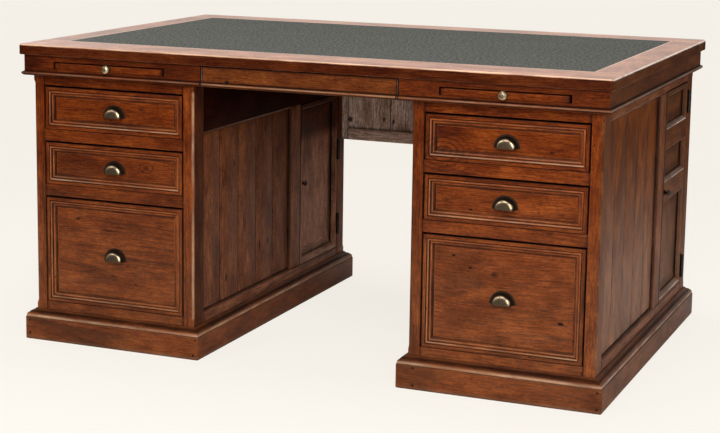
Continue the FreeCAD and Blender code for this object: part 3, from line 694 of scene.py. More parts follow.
panelled = dict(dulled, light=(0.165, 0.045, 0.0125, 1), mid=(0.085, 0.021, 0.006, 1), seam=2.4 * mm,
                streak=0.9, fibre=0.8)
# the right side's boards: a strong painted sheen of the pale floor towards their foot
sheenWashed = dict(panelled, light=(0.156, 0.035, 0.003, 1), mid=(0.080, 0.0165, 0.0018, 1),
                bloomAndSheen=(0.085, 0.072, 0.058))
# the outer door: strong pale wear on its crests, which also paints their highlights
outerDoor = dict(dulled, light=(0.125, 0.034, 0.007, 1), wornAndHighlit=(0.78, 0.66, 0.58, 1), wearAndHighlight=1.7,
                 bloomAndSheen=(0.034, 0.024, 0.016))
# the kneehole door: paler boards, with the frieze's shadow painted on above about 455 mm
kneeDoor = dict(dulled, light=(0.32, 0.118, 0.055, 1), mid=(0.18, 0.064, 0.028, 1), paintedShadow=0.455,
                bloomAndSheen=(0.05, 0.042, 0.034))
topFinish = dict(waxed, light=(0.38, 0.135, 0.072, 1), mid=(0.26, 0.082, 0.040, 1), rough=0.33, gloss=0.7,
                 wornAndHighlit=(0.88, 0.64, 0.46, 1), wearAndHighlight=1.6, wearFrom=0.753, bloomAndSheen=(0.0, 0.0, 0.0))
topFinish.update({"Wear Width": 4.4 * mm, "Wear Break": 0.1, "End Dirt": 0.0})
topEdge = dict(topFinish, light=(0.074, 0.0132, 0.0022, 1), mid=(0.031, 0.0048, 0.001, 1), gloss=0.1,
               wornAndHighlit=(0.84, 0.50, 0.31, 1), streak=0.7, wearAndHighlight=2.4)
topEnd = dict(topEdge, light=(0.12, 0.034, 0.008, 1), mid=(0.07, 0.019, 0.005, 1), wornAndHighlit=(0.90, 0.76, 0.66, 1))
# the apron: weathered grey, made paler to paint the light that reaches it through the kneehole
weatheredAndLit = dict(dulled, light=(0.62, 0.42, 0.32, 1), mid=(0.38, 0.25, 0.185, 1), rough=0.62, gloss=0.2,
                 dark=(0.10, 0.062, 0.045, 1), wornAndHighlit=(0.66, 0.54, 0.46, 1), streak=0.9, wearAndHighlight=0.9)
weatheredAndLitPanel = dict(weatheredAndLit, seam=2.6 * mm)
paleEdge = dict(dulled, light=(0.095, 0.066, 0.056, 1), mid=(0.07, 0.048, 0.04, 1), wearAndHighlight=0.0)

# marks by the plane that they lie in, as kind, x, z, reach, strength and stretch
frontMarks = {
    -469: [
        ("swirl", 358, 567, 62, 0.8, 1.5), ("smudge", 362, 574, 8, 0.6, 2.0),
        ("pull", 616, 583, 16, 0.8, 1.5), ("smudge", 616, 583, 5, 0.9, 1.8),
        ("spot", 428, 437, 3.2, 0.9, 1.8), ("spot", 590, 443, 2.8, 0.9, 1.0),
        ("smudge", 367, 456, 9, 0.5, 1.6), ("smudge", 594, 465, 8, 0.45, 1.6),
        ("smudge", 642, 442, 7, 0.5, 1.6), ("spot", 389, 326, 3.2, 0.95, 1.8),
        ("spot", 430, 300, 3.0, 0.9, 1.8), ("pull", 488, 289, 20, 0.9, 1.7),
        ("smudge", 488, 289, 5, 0.95, 1.9), ("spot", 649, 191, 4.6, 0.95, 2.0),
        ("spot", 681, 154, 3.4, 0.9, 1.6), ("smudge", 511, 144, 3, 0.6, 9.0),
        ("smudge", -433, 613, 9, 0.5, 2.0), ("pull", -421, 466, 15, 0.8, 1.5),
        ("smudge", -421, 466, 5, 0.9, 1.7), ("pull", -617, 321, 18, 0.9, 1.7),
        ("smudge", -617, 321, 5, 0.9, 1.9), ("smudge", -529, 297, 3.2, 0.8, 7.0),
        ("smudge", -495, 308, 3.0, 0.7, 7.0), ("smudge", -381, 321, 3.0, 0.8, 6.0),
        ("spot", -475, 211, 2.4, 0.9, 1.3), ("spot", -452, 166, 2.2, 0.9, 1.2),
        ("spot", -339, 210, 2.3, 0.9, 1.2)],
    -478: [
        ("spot", 372, 538, 2.6, 0.95, 1.0), ("spot", 390, 540, 2.2, 0.9, 1.0),
        ("smudge", 618, 399, 7, 0.5, 2.0), ("spot", 296, 666, 2.5, 0.9, 1.0),
        ("spot", 295, 627, 2.2, 0.9, 1.0), ("spot", 715, 609, 2.5, 0.9, 1.0),
        ("spot", 730, 154, 2.4, 0.9, 1.0), ("spot", 298, 149, 2.4, 0.9, 1.0)],
    -501: [("spot", x, z, 3.4, 0.95, 1.0) for x, z in (
        (-745, 50), (-745, 17), (-268, 51), (-274, 12), (305, 53), (305, 11), (748, 50), (748, 10))],
}
sideMarks = [
    ("spot", -293, -236, 452, 5.5, 0.95, -2.0), ("smudge", -293, -296, 415, 12.0, 0.7, -1.8),
    ("spot", -293, -208, 361, 3.6, 0.9, -1.2), ("spot", -293, -84, 210, 6.5, 0.95, -2.6),
    ("spot", -293, -34, 211, 5.2, 0.85, -2.6), ("spot", -293, -282, 161, 6.0, 0.9, -2.6),
    ("smudge", -293, -50, 520, 9.0, 0.7, -1.8), ("smudge", -293, -90, 470, 11.0, 0.5, -2.0),
    ("spot", 736, 130, 168, 3.4, 0.9, -1.4), ("smudge", 727, -150, 130, 7.0, 0.8, -2.0),
    ("smudge", 727, -180, 575, 4.0, 0.8, -4.0), ("smudge", 727, -120, 565, 3.5, 0.8, -4.0)]
apronMarks = [
    ("spot", -259, 457, 480, 8.5, 0.9, -1.3), ("smudge", -238, 459, 472, 9.0, 0.6, -1.2),
    ("spot", -153, 459, 486, 4.4, 0.9, -2.2), ("spot", -124, 459, 481, 4.4, 0.9, -2.2)]
drawerMarks = [("pull", -184, -497, 697, 14, 0.9, 1.6), ("spot", -184, -497, 697, 5.5, 0.95, 1.3)]

waxedTimber = makeTimber("waxedTimber", waxed, [
    (kind, x, y, *rest) for y, spots in frontMarks.items() for kind, x, *rest in spots])
tannedTimber = makeTimber("tannedTimber", tanned, drawerMarks)
topTimber = makeTimber("topTimber", topFinish)
dulledTimber = makeTimber("dulledTimber", dulled)
panelledTimber = makeTimber("panelledTimber", panelled, sideMarks)
sheenWashedTimber = makeTimber("sheenWashedTimber", sheenWashed, sideMarks)
outerDoorTimber = makeTimber("outerDoorTimber", outerDoor)
kneeDoorTimber = makeTimber("kneeDoorTimber", kneeDoor)
weatheredAndLitTimber = makeTimber("weatheredAndLitTimber", weatheredAndLit, apronMarks)
weatheredAndLitBoards = makeTimber("weatheredAndLitBoards", weatheredAndLitPanel, apronMarks)
topEdgeTimber = makeTimber("topEdgeTimber", topEdge)
topEndTimber = makeTimber("topEndTimber", topEnd)
framingTimber = makeTimber("framingTimber", framing)
paleEdgeTimber = makeTimber("paleEdgeTimber", paleEdge)
print("timber finishes made")


# unpolished boards inside the desk: the same grain, laid along the drawers by Object coordinates
def makeBareTimber(look):
    made, tree, shader = newMaterial("bareTimber")
    place = split(objectPlace(tree))
    grain = addNode(tree, "CombineXYZ", {0: place[1], 1: place[0], 2: place[2] + look["heart"]})
    inputs = {"Grain": grain, "Ring Spacing": 6 * mm, "Knot Share": 0.3, "Hole Share": 0.2}
    drawn = outputsOf(tree, "Group", inputs, node_tree=grainGroup)
    colour = mixed(drawn["Figure"], look["light"], look["mid"])
    colour = mixed(drawn["Streak"] * 0.5, colour, look["dark"])
    shade = ramped(drawn["Fibre"], 0.3, 0.7, 0.8, 1.15) * ramped(drawn["Mottle"], 0.3, 0.7, 0.75, 1.15)
    spots = calc("MAXIMUM", drawn["Knot"] * 0.8, drawn["Hole"])
    feed(tree, shader, {
        "Base Color": mixed(spots, colour * shade, look["dark"]),
        "Roughness": ramped(drawn["Fibre"], 0.2, 0.8, 0.62, 0.8),
        "Normal": bumped(drawn["Height"], 0.3, 0.8 * mm),
    })
    return made


# hide: pebbles between creases, a soft bloom of dust, darker where it was handled
def makeLeather(look):
    made, tree, shader = newMaterial("writingLeather")
    place = objectPlace(tree)
    pebble = addNode(tree, "TexVoronoi", {"Vector": place, "Scale": look["pebbles"]}, feature="SMOOTH_F1")
    crease = noised(place, (90.0, 140.0, 90.0), 4.0, 0.6)
    speck = noised(place, (130.0, 230.0, 130.0), 3.0, 0.65)
    bloomAndSheen = noised(place, (3.0, 5.0, 3.0), 4.0, 0.6)
    scuff = ramped(noised(place, (7.0, 160.0, 7.0), 3.0, 0.6), 0.58, 0.75)
    colour = mixed(ramped(bloomAndSheen, 0.35, 0.65), look["dark"], look["light"])
    colour = mixed(ramped(crease, 0.45, 0.7) * 0.5, colour, look["crease"])
    colour = mixed(scuff * 0.25, colour, look["scuff"])
    feed(tree, shader, {
        "Base Color": colour * ramped(speck, 0.32, 0.68, 0.1, 1.9),
        "Roughness": ramped(bloomAndSheen, 0.3, 0.7, look["rough"] - 0.05, look["rough"] + 0.07),
        "Specular IOR Level": ramped(speck, 0.32, 0.68, 0.0, 2.0 * look["gloss"]),
        "Normal": bumped(crease * 0.6 - pebble, 0.35),
    })
    return made


# metal: bright where hands rub, dull and dark in hollows and in patches; its age is rubbing and dirt, as on
# timber, and on the cups the rubbing also paints their highlights
def makeMetal(name, look):
    made, tree, shader = newMaterial(name)
    place = objectPlace(tree)
    age = split(attribute(tree, "age"))
    patch = noised(place, (110.0, 110.0, 110.0), 4.0, 0.65)
    speck = noised(place, (450.0, 450.0, 450.0), 2.0, 0.6)
    hollow = addNode(tree, "AmbientOcclusion", {"Distance": look["hollow"]}, "AO", samples=4)
    tarnish = ramped(hollow, 0.85, 0.35) + ramped(patch, look["patch"], 0.75)
    tarnish = calc("MAXIMUM", tarnish, look["dulled"]) + age[1]
    tarnish = calc("SUBTRACT", tarnish, age[0], clamp=True)
    colour = mixed(tarnish, look["bright"], look["tarnished"])
    feed(tree, shader, {
        "Base Color": mixed(ramped(speck, 0.45, 0.65) * 0.6, colour, look["tarnished"]),
        "Metallic": 1.0,
        "Roughness": speck * 0.1 + (tarnish * 0.3 + look["rough"]),
        "Normal": bumped(patch, 0.15, 0.8 * mm),
    })
    return made


bareTimber = makeBareTimber({
    "light": (0.30, 0.175, 0.085, 1), "mid": (0.20, 0.105, 0.046, 1), "dark": (0.05, 0.025, 0.012, 1),
    "heart": 0.06})
writingLeather = makeLeather({
    "light": (0.062, 0.064, 0.054, 1), "dark": (0.036, 0.040, 0.034, 1), "crease": (0.024, 0.026, 0.022, 1),
    "scuff": (0.13, 0.125, 0.11, 1), "pebbles": 700.0, "rough": 0.6, "gloss": 0.2})
agedBrass = makeMetal("agedBrass", {
    "bright": (0.90, 0.68, 0.42, 1), "tarnished": (0.042, 0.027, 0.018, 1), "hollow": 12 * mm,
    "patch": 0.48, "dulled": 0.93, "rough": 0.22})
blackIron = makeMetal("blackIron", {
    "bright": (0.055, 0.048, 0.044, 1), "tarnished": (0.014, 0.011, 0.009, 1), "hollow": 8 * mm,
    "patch": 0.45, "dulled": 0.0, "rough": 0.38})
print("metals and leather made")


# where a flat upright piece faces: its lower corner, the way across seen from outside, and its outward side
def faceOf(low, high, normal):
    normal = np.array(normal, float)
    across = np.cross(up, normal)
    origin = np.where(normal > 0.5, high, np.where(normal < -0.5, low, np.where(across > 0.5, low, high)))
    origin[2] = low[2]
    return (origin, across, up, normal), abs((high - low) @ across), high[2] - low[2]


# the way that a thin upright piece looks, away from the middle of what it belongs to
def outwardOf(low, high, middle):
    isThin = np.arange(3) == np.argmin(high - low)
    return np.where(isThin, np.sign((low + high) / 2 - middle), 0.0)


# upright boards side by side, their edges softened on the side that shows
def addBoards(shape, rng, low, high, normal, look):
    thin = int(np.argmax(abs(normal)))
    wide = 1 - thin
    count = max(2, round((high - low)[wide] / look["boardPitch"]))
    edges = np.linspace(low[wide], high[wide], count + 1)
    for begin, end in zip(edges[:-1], edges[1:]):
        boardLow, boardHigh = low.copy(), high.copy()
        boardLow[wide], boardHigh[wide] = begin, end
        addBar(shape, rng, boardLow, boardHigh, look["boardArris"], along=2,
               softer=(thin, normal[thin], look["boardEdge"]), gap=look["boardGap"])


# Top
borders = {"frontBorder": ("top_front_board", 0.0), "backBorder": ("top_back_board", 0.0),
           "endBorders": ("top_end_boards", 100 * mm)}
for name, (node, spare) in borders.items():
    shape = newShape()
    addNodeCopy(shape, seeded(name), node, spare)
    makePiece(name, shape, topTimber, [node], sides={0: topEndTimber, 1: topEdgeTimber})
print("top laid")


# Frieze with its bead, and the centre drawer cut out of it
frieze = {"beadOut": 6 * mm, "bead": 11 * mm, "thick": 26 * mm, "drawerThick": 22 * mm, "slotLeft": 2 * mm,
          "slotRight": 6 * mm, "slotHead": 2 * mm, "slotFoot": 0.5 * mm, "slideTrim": 1.5 * mm,
          "slideArris": 0.8 * mm, "paleEnd": 2.6 * mm, "groove": 1.6 * mm,
          "tone": {"left": -0.5, "right": 0.0}}


# the bead is rubbed on its crest and darkened off it, a painted shade against the light from above; dirt and
# painted shade darken the quirk over the bead and the face just under the top
def friezeProfile(height, thick, heights=()):
    out, bead = frieze["beadOut"], frieze["bead"]
    curve = arcThrough((-0.5 * out, 0.14 * bead), (-out, 0.5 * bead), (-0.5 * out, 0.86 * bead))
    crest = np.sin(np.linspace(-0.2, np.pi - 0.5, len(curve))).clip(0) ** 6
    rows = [(thick, 0, 0, 0), (-0.2 * out, 0, 0.3, 0)]
    rows += [(d, z, 0.85 * c, 0.75 * (1 - c) ** 2) for (d, z), c in zip(curve, crest)]
    rows += [(0, bead, 0, 1), (0, 1.35 * bead, 0, 0.15)]
    rows += [(0, z, 0, 0.25) for z in heights]
    rows += [(0, height - 4 * mm, 0, 0.2), (0, height, 0, 0.9), (thick, height, 0, 0.5)]
    rows += [(thick, z, 0, 0.3) for z in heights[::-1]]
    return rows


friezeLow, friezeHigh = boxOf("frieze_ends")
friezeX, friezeY = friezeHigh[0] - frieze["beadOut"], friezeHigh[1] - frieze["beadOut"]
friezeFoot, friezeHeight = friezeLow[2], friezeHigh[2] - friezeLow[2]
for side, name in ((-1, "left"), (1, "right")):
    slideLow, slideHigh = boxOf(name + "_slide_board")
    railLow, railHigh = boxOf("frieze_front_" + name)
    start = np.array([-friezeX if side < 0 else railLow[0], -friezeY, friezeFoot])
    length = (railHigh[0] if side < 0 else friezeX) - start[0]
    slot = {"start": slideLow[0] - frieze["slotLeft"] - start[0],
            "end": slideHigh[0] + frieze["slotRight"] - start[0],
            "low": slideLow[2] - frieze["slotFoot"] - friezeFoot,
            "high": slideHigh[2] + frieze["slotHead"] - friezeFoot}
    own = makeBoard(seeded(name + "Frieze"), railLow, railHigh, 0, False)
    own["tone"] = frieze["tone"][name]
    shape = newShape()
    profile = friezeProfile(friezeHeight, frieze["thick"], (slot["low"], slot["high"]))
    addRun(shape, own, start, xAxis, yAxis, length, profile, (1, 0) if side < 0 else (0, 1), slot)
    makePiece(name + "Frieze", shape, waxedTimber, ["frieze_front_" + name])
    shape = newShape()
    addBar(shape, seeded(name + "Slide"), slideLow + frieze["slideTrim"] * np.array([1, 0, 0]),
           slideHigh - frieze["slideTrim"] * np.array([0.6, 0, 1]), frieze["slideArris"], along=0)
    makePiece(name + "Slide", shape, waxedTimber, [name + "_slide_board"], name + "_slide")

plain = friezeProfile(friezeHeight, frieze["thick"])
shape = newShape()
for sign in (1, -1):
    own = makeBoard(seeded("endFrieze%d" % sign), friezeLow, friezeHigh, 1, False)
    start = np.array([sign * friezeX, -sign * friezeY, friezeFoot])
    addRun(shape, own, start, sign * yAxis, -sign * xAxis, 2 * friezeY, plain, (1, 1))
makePiece("endFrieze", shape, dulledTimber, ["frieze_ends"])
shape = newShape()
own = makeBoard(seeded("backFrieze"), *boxOf("frieze_back"), 0, False)
addRun(shape, own, np.array([friezeX, friezeY, friezeFoot]), -xAxis, -yAxis, 2 * friezeX, plain, (1, 1))
makePiece("backFrieze", shape, dulledTimber, ["frieze_back"])
low, high = boxOf("centre_drawer_front")
own = makeBoard(seeded("centreDrawerFace"), low, high, 0, False)
inner = frieze["paleEnd"] + frieze["groove"]
spans = {"Face": [(low[0] + inner, high[0] - inner)],
         "Ends": [(low[0], low[0] + frieze["paleEnd"]), (high[0] - frieze["paleEnd"], high[0])]}
for part, material in (("Face", tannedTimber), ("Ends", paleEdgeTimber)):
    shape = newShape()
    for begin, end in spans[part]:
        addRun(shape, own, np.array([begin, -friezeY, low[2]]), xAxis, yAxis, end - begin,
               friezeProfile(high[2] - low[2], frieze["drawerThick"]))
    makePiece("centreDrawer" + part, shape, material, ["centre_drawer_front"], "centre_drawer")
print("frieze run round")


# Pedestals
# of the darker rail tones, the lowest paints the tall kneehole rail almost black as a shadow, and the other
# is a painted shade on the left pedestal's front rails
pedestal = {"arris": 1.0 * mm, "chamferLeg": 6 * mm, "chamferStop": 22 * mm, "chamferRun": 9 * mm,
            "boardPitch": 104 * mm, "boardEdge": 2.3 * mm, "boardArris": 0.5 * mm, "boardGap": 0.12 * mm,
            "paintedShadow": -3.95, "paintedShadowFrom": (200 * mm, 100 * mm), "sideDepth": 20 * mm, "shaded": -0.4}
plinth = {"out": 23 * mm, "face": 58 * mm, "rise": 20 * mm, "foot": 3 * mm, "corner": 5 * mm}
# per side (bottom, right, top, left) the panel mouldings are paled and darkened: wear and dirt, with a
# painted highlight along the top and painted shadow along the bottom and right
moulding = {"width": 8 * mm, "height": 8 * mm, "paling": (0.05, 0.5, 0.85, 0.3),
            "darkening": (1.0, 1.0, 0.6, 0.8)}


# the round is rubbed, and dirt and painted shadow darken the foot of the round and the hollow above it
def plinthProfile():
    out, face, rise, foot = plinth["out"], plinth["face"], plinth["rise"], plinth["foot"]
    shoulder, ledge = 0.09 * out, 0.42 * out
    rows = [(out, 0, 0, 0.6)]
    rows += [(d, z, 0.5, 0.3) for d, z in arcThrough((foot, 0), (0.3 * foot, 0.3 * foot), (0, foot), 4)]
    rows += [(0, 3.5 * foot, 0, 0), (0, face - 2.5 * mm, 0, 0), (0, face - 0.5 * mm, 0.2, 0.1),
             (0.4 * mm, face, 0.2, 0.4)]
    curve = arcThrough((shoulder, face), (0.14 * out, face + 0.36 * rise), (ledge, face + 0.6 * rise), 10)
    crest = np.array([0.3, 1.2, 1.6, 1.5, 0.8, 0.25, 0.05, 0, 0, 0])
    dirtAndShadow = np.array([0.7, 0, 0, 0, 0, 0.1, 0.25, 0.35, 0.45, 0.6])
    rows += [(d, z, c, g) for (d, z), c, g in zip(curve, crest, dirtAndShadow)]
    hollow = arcThrough((ledge, face + 0.7 * rise), (0.66 * out, face + 0.78 * rise),
                        (0.87 * out, face + rise), 8)
    rows += [(d, z, 0, 0.9 - 0.08 * index) for index, (d, z) in enumerate(hollow)]
    return rows + [(out, face + rise, 0, 0.8)]


def mouldingProfile():
    width, height = moulding["width"], moulding["height"]
    curve = arcThrough((0.22 * width, -0.04 * height), (0.56 * width, -0.40 * height),
                       (0.80 * width, -0.86 * height))
    rows = [(0, -height, 0, 1), (0, -0.3 * mm, 0.4, 0.4), (0.3 * mm, 0, 0.9, 0), (0.15 * width, 0, 1, 0)]
    rows += [(d, z, 0.5 * (1 - g), g) for (d, z), g in zip(curve, np.linspace(0.35, 1.0, 9))]
    return rows + [(0.92 * width, -0.9 * height, 0, 1), (width, -height, 0, 1)]


for side, name in ((-1, "left"), (1, "right")):
    low, high = boxOf(name + "_posts")
    middle = (low + high) / 2
    plinthLow, plinthHigh = boxOf(name + "_plinth")
    rng = seeded(name + "Pedestal")
    shape = newShape()
    foot, head = plinthHigh[2] + pedestal["chamferStop"], high[2] - pedestal["chamferStop"]
    stations = [foot - pedestal["chamferRun"], foot, head, head + pedestal["chamferRun"]]
    for postLow, postHigh in solidBoxes(name + "_posts"):
        corner = np.sign((postLow + postHigh) / 2 - middle)[:2]
        # by the kneehole the chamfer is painted pale, a painted reflection, and the post's face towards the
        # kneehole dark, a painted shade
        byKnees = side < 0 and corner[0] > 0 and corner[1] < 0
        chamfer = {"stations": stations, "corner": corner, "leg": pedestal["chamferLeg"],
                   "wearAndHighlight": 1.0 if byKnees else 0.0, "dirtAndShade": 0.6 if byKnees else 0.0}
        addBar(shape, rng, postLow, postHigh, pedestal["arris"], along=2, chamfer=chamfer)
    # the right pedestal's sideways faces take the greyer dulled finish, a painted sheen of the cool light on
    # that side
    sheenedSides = {0: dulledTimber} if side > 0 else None
    makePiece(name + "Posts", shape, waxedTimber, [name + "_posts"], sides=sheenedSides)
    shapes = {"Front": newShape(), "Side": newShape()}
    for railLow, railHigh in solidBoxes(name + "_rails"):
        isFront = railLow[1] < low[1] + 1 * mm
        isLarge = ((railHigh - railLow)[1:] > pedestal["paintedShadowFrom"]).all()
        tone = None
        # the left pedestal's front rails take a darker tone, a painted shade
        if side < 0 and isFront:
            tone = pedestal["shaded"]
        elif side < 0 and isLarge and railHigh[0] > high[0] - pedestal["sideDepth"]:
            # the tall rail over the kneehole door is toned almost black, a painted shadow
            tone = pedestal["paintedShadow"]     # the tall rail over the kneehole door
        addBar(shapes["Front" if isFront else "Side"], rng, railLow, railHigh, pedestal["arris"], tone=tone)
    makePiece(name + "FrontRails", shapes["Front"], waxedTimber, [name + "_rails"])
    makePiece(name + "SideRails", shapes["Side"], framingTimber, [name + "_rails"])
    shape = newShape()
    for bayLow, bayHigh in solidBoxes(name + "_panel_boards"):
        addBoards(shape, rng, bayLow, bayHigh, outwardOf(bayLow, bayHigh, middle), pedestal)
    finish = panelledTimber if side < 0 else sheenWashedTimber
    makePiece(name + "PanelBoards", shape, finish, [name + "_panel_boards"])
    shape = newShape()
    for bayLow, bayHigh in solidBoxes(name + "_panel_mouldings"):
        place, width, height = faceOf(bayLow, bayHigh, outwardOf(bayLow, bayHigh, middle))
        addRing(shape, rng, place, width, height, mouldingProfile(), closed=True, paling=moulding["paling"],
                darkening=moulding["darkening"])
    makePiece(name + "PanelMouldings", shape, dulledTimber, [name + "_panel_mouldings"])
    shape = newShape()
    size = plinthHigh - plinthLow
    place = (np.array([plinthLow[0], plinthLow[1], 0.0]), xAxis, yAxis, up)
    addRing(shape, rng, place, size[0], size[1], plinthProfile(), plinth["corner"], closed=True)
    makePiece(name + "Plinth", shape, waxedTimber, [name + "_plinth"], sides=sheenedSides)
print("pedestals stand")


# Drawer fronts and doors
# per side (bottom, right, top, left) a field's border is paled and darkened: wear and dirt, with a painted
# highlight on the bottom, lit from above, and painted shadow deepest on the left
panel = {"arris": 1.2 * mm, "flat": 8 * mm, "width": 14.5 * mm, "sunk": 9 * mm, "smallField": 90 * mm,
         "rail": 48 * mm, "paling": (0.9, 0.15, 0.15, 0.35), "darkening": (0.6, 0.6, 0.75, 1.0),
         "trimLow": 2.0 * mm, "trimHigh": 1.0 * mm, "trimHead": 1.5 * mm, "borderTone": 2.2,
         "fieldTone": -0.3}
# on the doors the bottom border is paled most, a painted highlight of the light from above, and the right is
# darkened most, a painted shadow
doorPanel = dict(panel, width=11 * mm, sunk=12 * mm, paling=(1.0, 0.2, 0.05, 0.1), darkening=(0.8, 2.0, 0.8, 0.4),
                 trimLow=2.5 * mm, borderTone=0.5, fieldTone=0.0)


def borderProfile():
    width, drop = panel["width"], panel["sunk"]
    crest = np.sin(np.linspace(0, np.pi, 9)) ** 5
    upper = arcThrough((0.08 * width, -0.28 * drop), (0.29 * width, 0), (0.5 * width, -0.31 * drop))
    lower = arcThrough((0.5 * width, -0.5 * drop), (0.76 * width, -0.44 * drop), (0.92 * width, -0.81 * drop))
    rows = [(0, 0, 0, 0), (0, -0.28 * drop, 0, 1)]
    rows += [(d, z, 0.06 + 0.94 * c, 0.9 * (1 - c) ** 4) for (d, z), c in zip(upper, crest)]
    rows += [(d, z, 0.06 + 0.25 * c, 0.9 * (1 - c) ** 4) for (d, z), c in zip(lower, crest)]
    rows.append((width, -0.81 * drop, 0.1, 0.3))
    # dirt and painted shadow run on past the border into the field
    dirtAndShadow = ((0, 1), (2.6, 1), (5, 0))       # millimetres into the field, and how dirty it is there
    return rows + [(width + reach * mm, -drop, 0, dirtAndShade) for reach, dirtAndShade in dirtAndShadow]


# the doors' border is steeper: a narrow crest by the frame, then a hollow slope to the sunk field
def doorProfile():
    width, drop = doorPanel["width"], doorPanel["sunk"]
    slope = arcThrough((0.30 * width, -0.06 * drop), (0.64 * width, -0.38 * drop),
                       (0.88 * width, -0.80 * drop))
    rows = [(0, 0, 0, 0), (0, -0.1 * drop, 0, 0.9), (0.07 * width, -0.02 * drop, 1, 0),
            (0.16 * width, 0, 1, 0), (0.24 * width, -0.02 * drop, 0.8, 0)]
    rows += [(d, z, 0.16, g) for (d, z), g in zip(slope, np.linspace(0.1, 0.25, 9))]
    rows += [(0.90 * width, -0.84 * drop, 0, 1), (width, -0.86 * drop, 0, 0.7)]
    # dirt and painted shadow reach far into the field
    dirtAndShadow = ((0, 1), (3, 1), (4, 0.42), (12, 0.36), (26, 0))
    return rows + [(width + reach * mm, -drop, 0, dirtAndShade) for reach, dirtAndShade in dirtAndShadow]


drawerLook = dict(panel, border=borderProfile(), fieldAlong=0)
doorLook = dict(doorPanel, border=doorProfile(), fieldAlong=2)


def oneField(width, height):
    flat = panel["flat"]
    return [(flat, flat, width - 2 * flat, height - 2 * flat)]


def threeFields(width, height):
    flat, small, rail = panel["flat"], panel["smallField"], panel["rail"]
    tall = height - 2 * flat - 2 * (small + rail)
    rises = [(flat, tall), (flat + tall + rail, small), (flat + tall + 2 * rail + small, small)]
    return [(flat, rise, width - 2 * flat, size) for rise, size in rises]


drawers = [f"{side}_{level}_drawer" for side in ("left", "right") for level in ("file", "middle", "upper")]
fronts = [(body + "_front", body, (0, -1, 0), oneField, drawerLook, waxedTimber) for body in drawers]
fronts += [("kneehole_door", "kneehole_door", (1, 0, 0), oneField, doorLook, kneeDoorTimber),
           ("outer_door", "outer_door", (1, 0, 0), threeFields, doorLook, outerDoorTimber)]
for node, body, normal, fields, look, material in fronts:
    low, high = boxOf(node)
    wide = 0 if look is drawerLook else 1
    low[wide] += look["trimLow"]
    high[wide] -= look["trimHigh"]
    high[2] -= look["trimHead"]
    place, width, height = faceOf(low, high, normal)
    thickness = abs((high - low) @ np.array(normal))
    shape = newShape()
    addFielded(shape, seeded(node), place, width, height, thickness, fields(width, height), look)
    makePiece(node + "_face", shape, material, [node], body)
print("drawers and doors hung")


# Apron behind the kneehole
apron = {"boardPitch": 133 * mm, "arris": 1.2 * mm, "stileGap": 0.1 * mm, "boardEdge": 1.6 * mm,
         "boardArris": 0.5 * mm, "boardGap": 0.12 * mm}
frameLow, frameHigh = boxOf("apron_frame")
boardsLow, boardsHigh = boxOf("apron_boards")
rng = seeded("apron")
shape = newShape()
for zLow, zHigh in ((frameLow[2], boardsLow[2]), (boardsHigh[2], frameHigh[2])):
    addBar(shape, rng, (boardsLow[0], frameLow[1], zLow), (boardsHigh[0], frameHigh[1], zHigh),
           apron["arris"])
for xLow, xHigh in ((frameLow[0], boardsLow[0]), (boardsHigh[0], frameHigh[0])):
    addBar(shape, rng, (xLow, *frameLow[1:]), (xHigh, *frameHigh[1:]), apron["arris"], gap=apron["stileGap"])
makePiece("apronFrame", shape, weatheredAndLitTimber, ["apron_frame"])
shape = newShape()
addBoards(shape, rng, boardsLow, boardsHigh, -yAxis, apron)
makePiece("apronBoards", shape, weatheredAndLitBoards, ["apron_boards"])
print("apron set")


# Brass cup pulls and turned knobs
tip = 0.05 * mm                     # a turned form ends in a ring this small, not in a point
pull = {"radius": 27.5 * mm, "brow": 25 * mm, "front": 16.5 * mm, "out": 18 * mm, "shoulder": 10 * mm,
        "crown": 1.2 * mm, "wall": 2 * mm, "flangeWidth": 4 * mm, "flange": 1.5 * mm,
        "rubAndHighlightAngles": ((1.9, 0.7, 1.0), (0.5, 0.3, 1.3))}


# the section of a cup: flange, steep side, round shoulder, a front like a slice of a ball, then the same skin
# inside. Dirt lies on flange and side, and the shoulder is rubbed bright, which also paints its highlight.
def cupProfile():
    rim = pull["radius"] + pull["flangeWidth"]
    start = pull["out"] - pull["crown"] - pull["shoulder"]
    turn = np.linspace(0, np.pi / 2, 9)
    ball = (pull["front"] ** 2 + pull["crown"] ** 2) / (2 * pull["crown"])
    radii = np.linspace(pull["front"], tip, 7)[1:]
    skins = []
    for wall in (0.0, pull["wall"]):
        reach, rise = pull["brow"] - wall - pull["front"], pull["shoulder"] - wall
        skin = np.stack([pull["front"] + reach * np.cos(turn), start + rise * np.sin(turn)], 1)
        dome = np.stack([radii, pull["out"] - wall - ball + np.sqrt(ball ** 2 - radii ** 2)], 1)
        skins.append(np.concatenate([skin, dome]))
    paling = np.concatenate([np.exp(-((turn - 1.12) / 0.3) ** 2) + 0.3 * np.sin(2 * turn) ** 2, np.zeros(6)])
    darkening = np.concatenate([0.5 * np.cos(turn) ** 2, np.zeros(6)])
    thick = pull["flange"]
    rows = [(pull["radius"] - pull["wall"], 0, 0, 1), (rim, 0, 0, 0.8), (rim, 0.5 * thick, 0.1, 0.5),
            (rim - 0.5 * mm, 0.9 * thick, 0.25, 0.3), (rim - 1.2 * mm, thick, 0.1, 0.5),
            (pull["radius"], thick, 0, 1)]
    rows += [(r, d, w, g) for (r, d), w, g in zip(skins[0], paling, darkening)]
    return rows + [(r, d, 0, 1) for r, d in skins[1][::-1]]


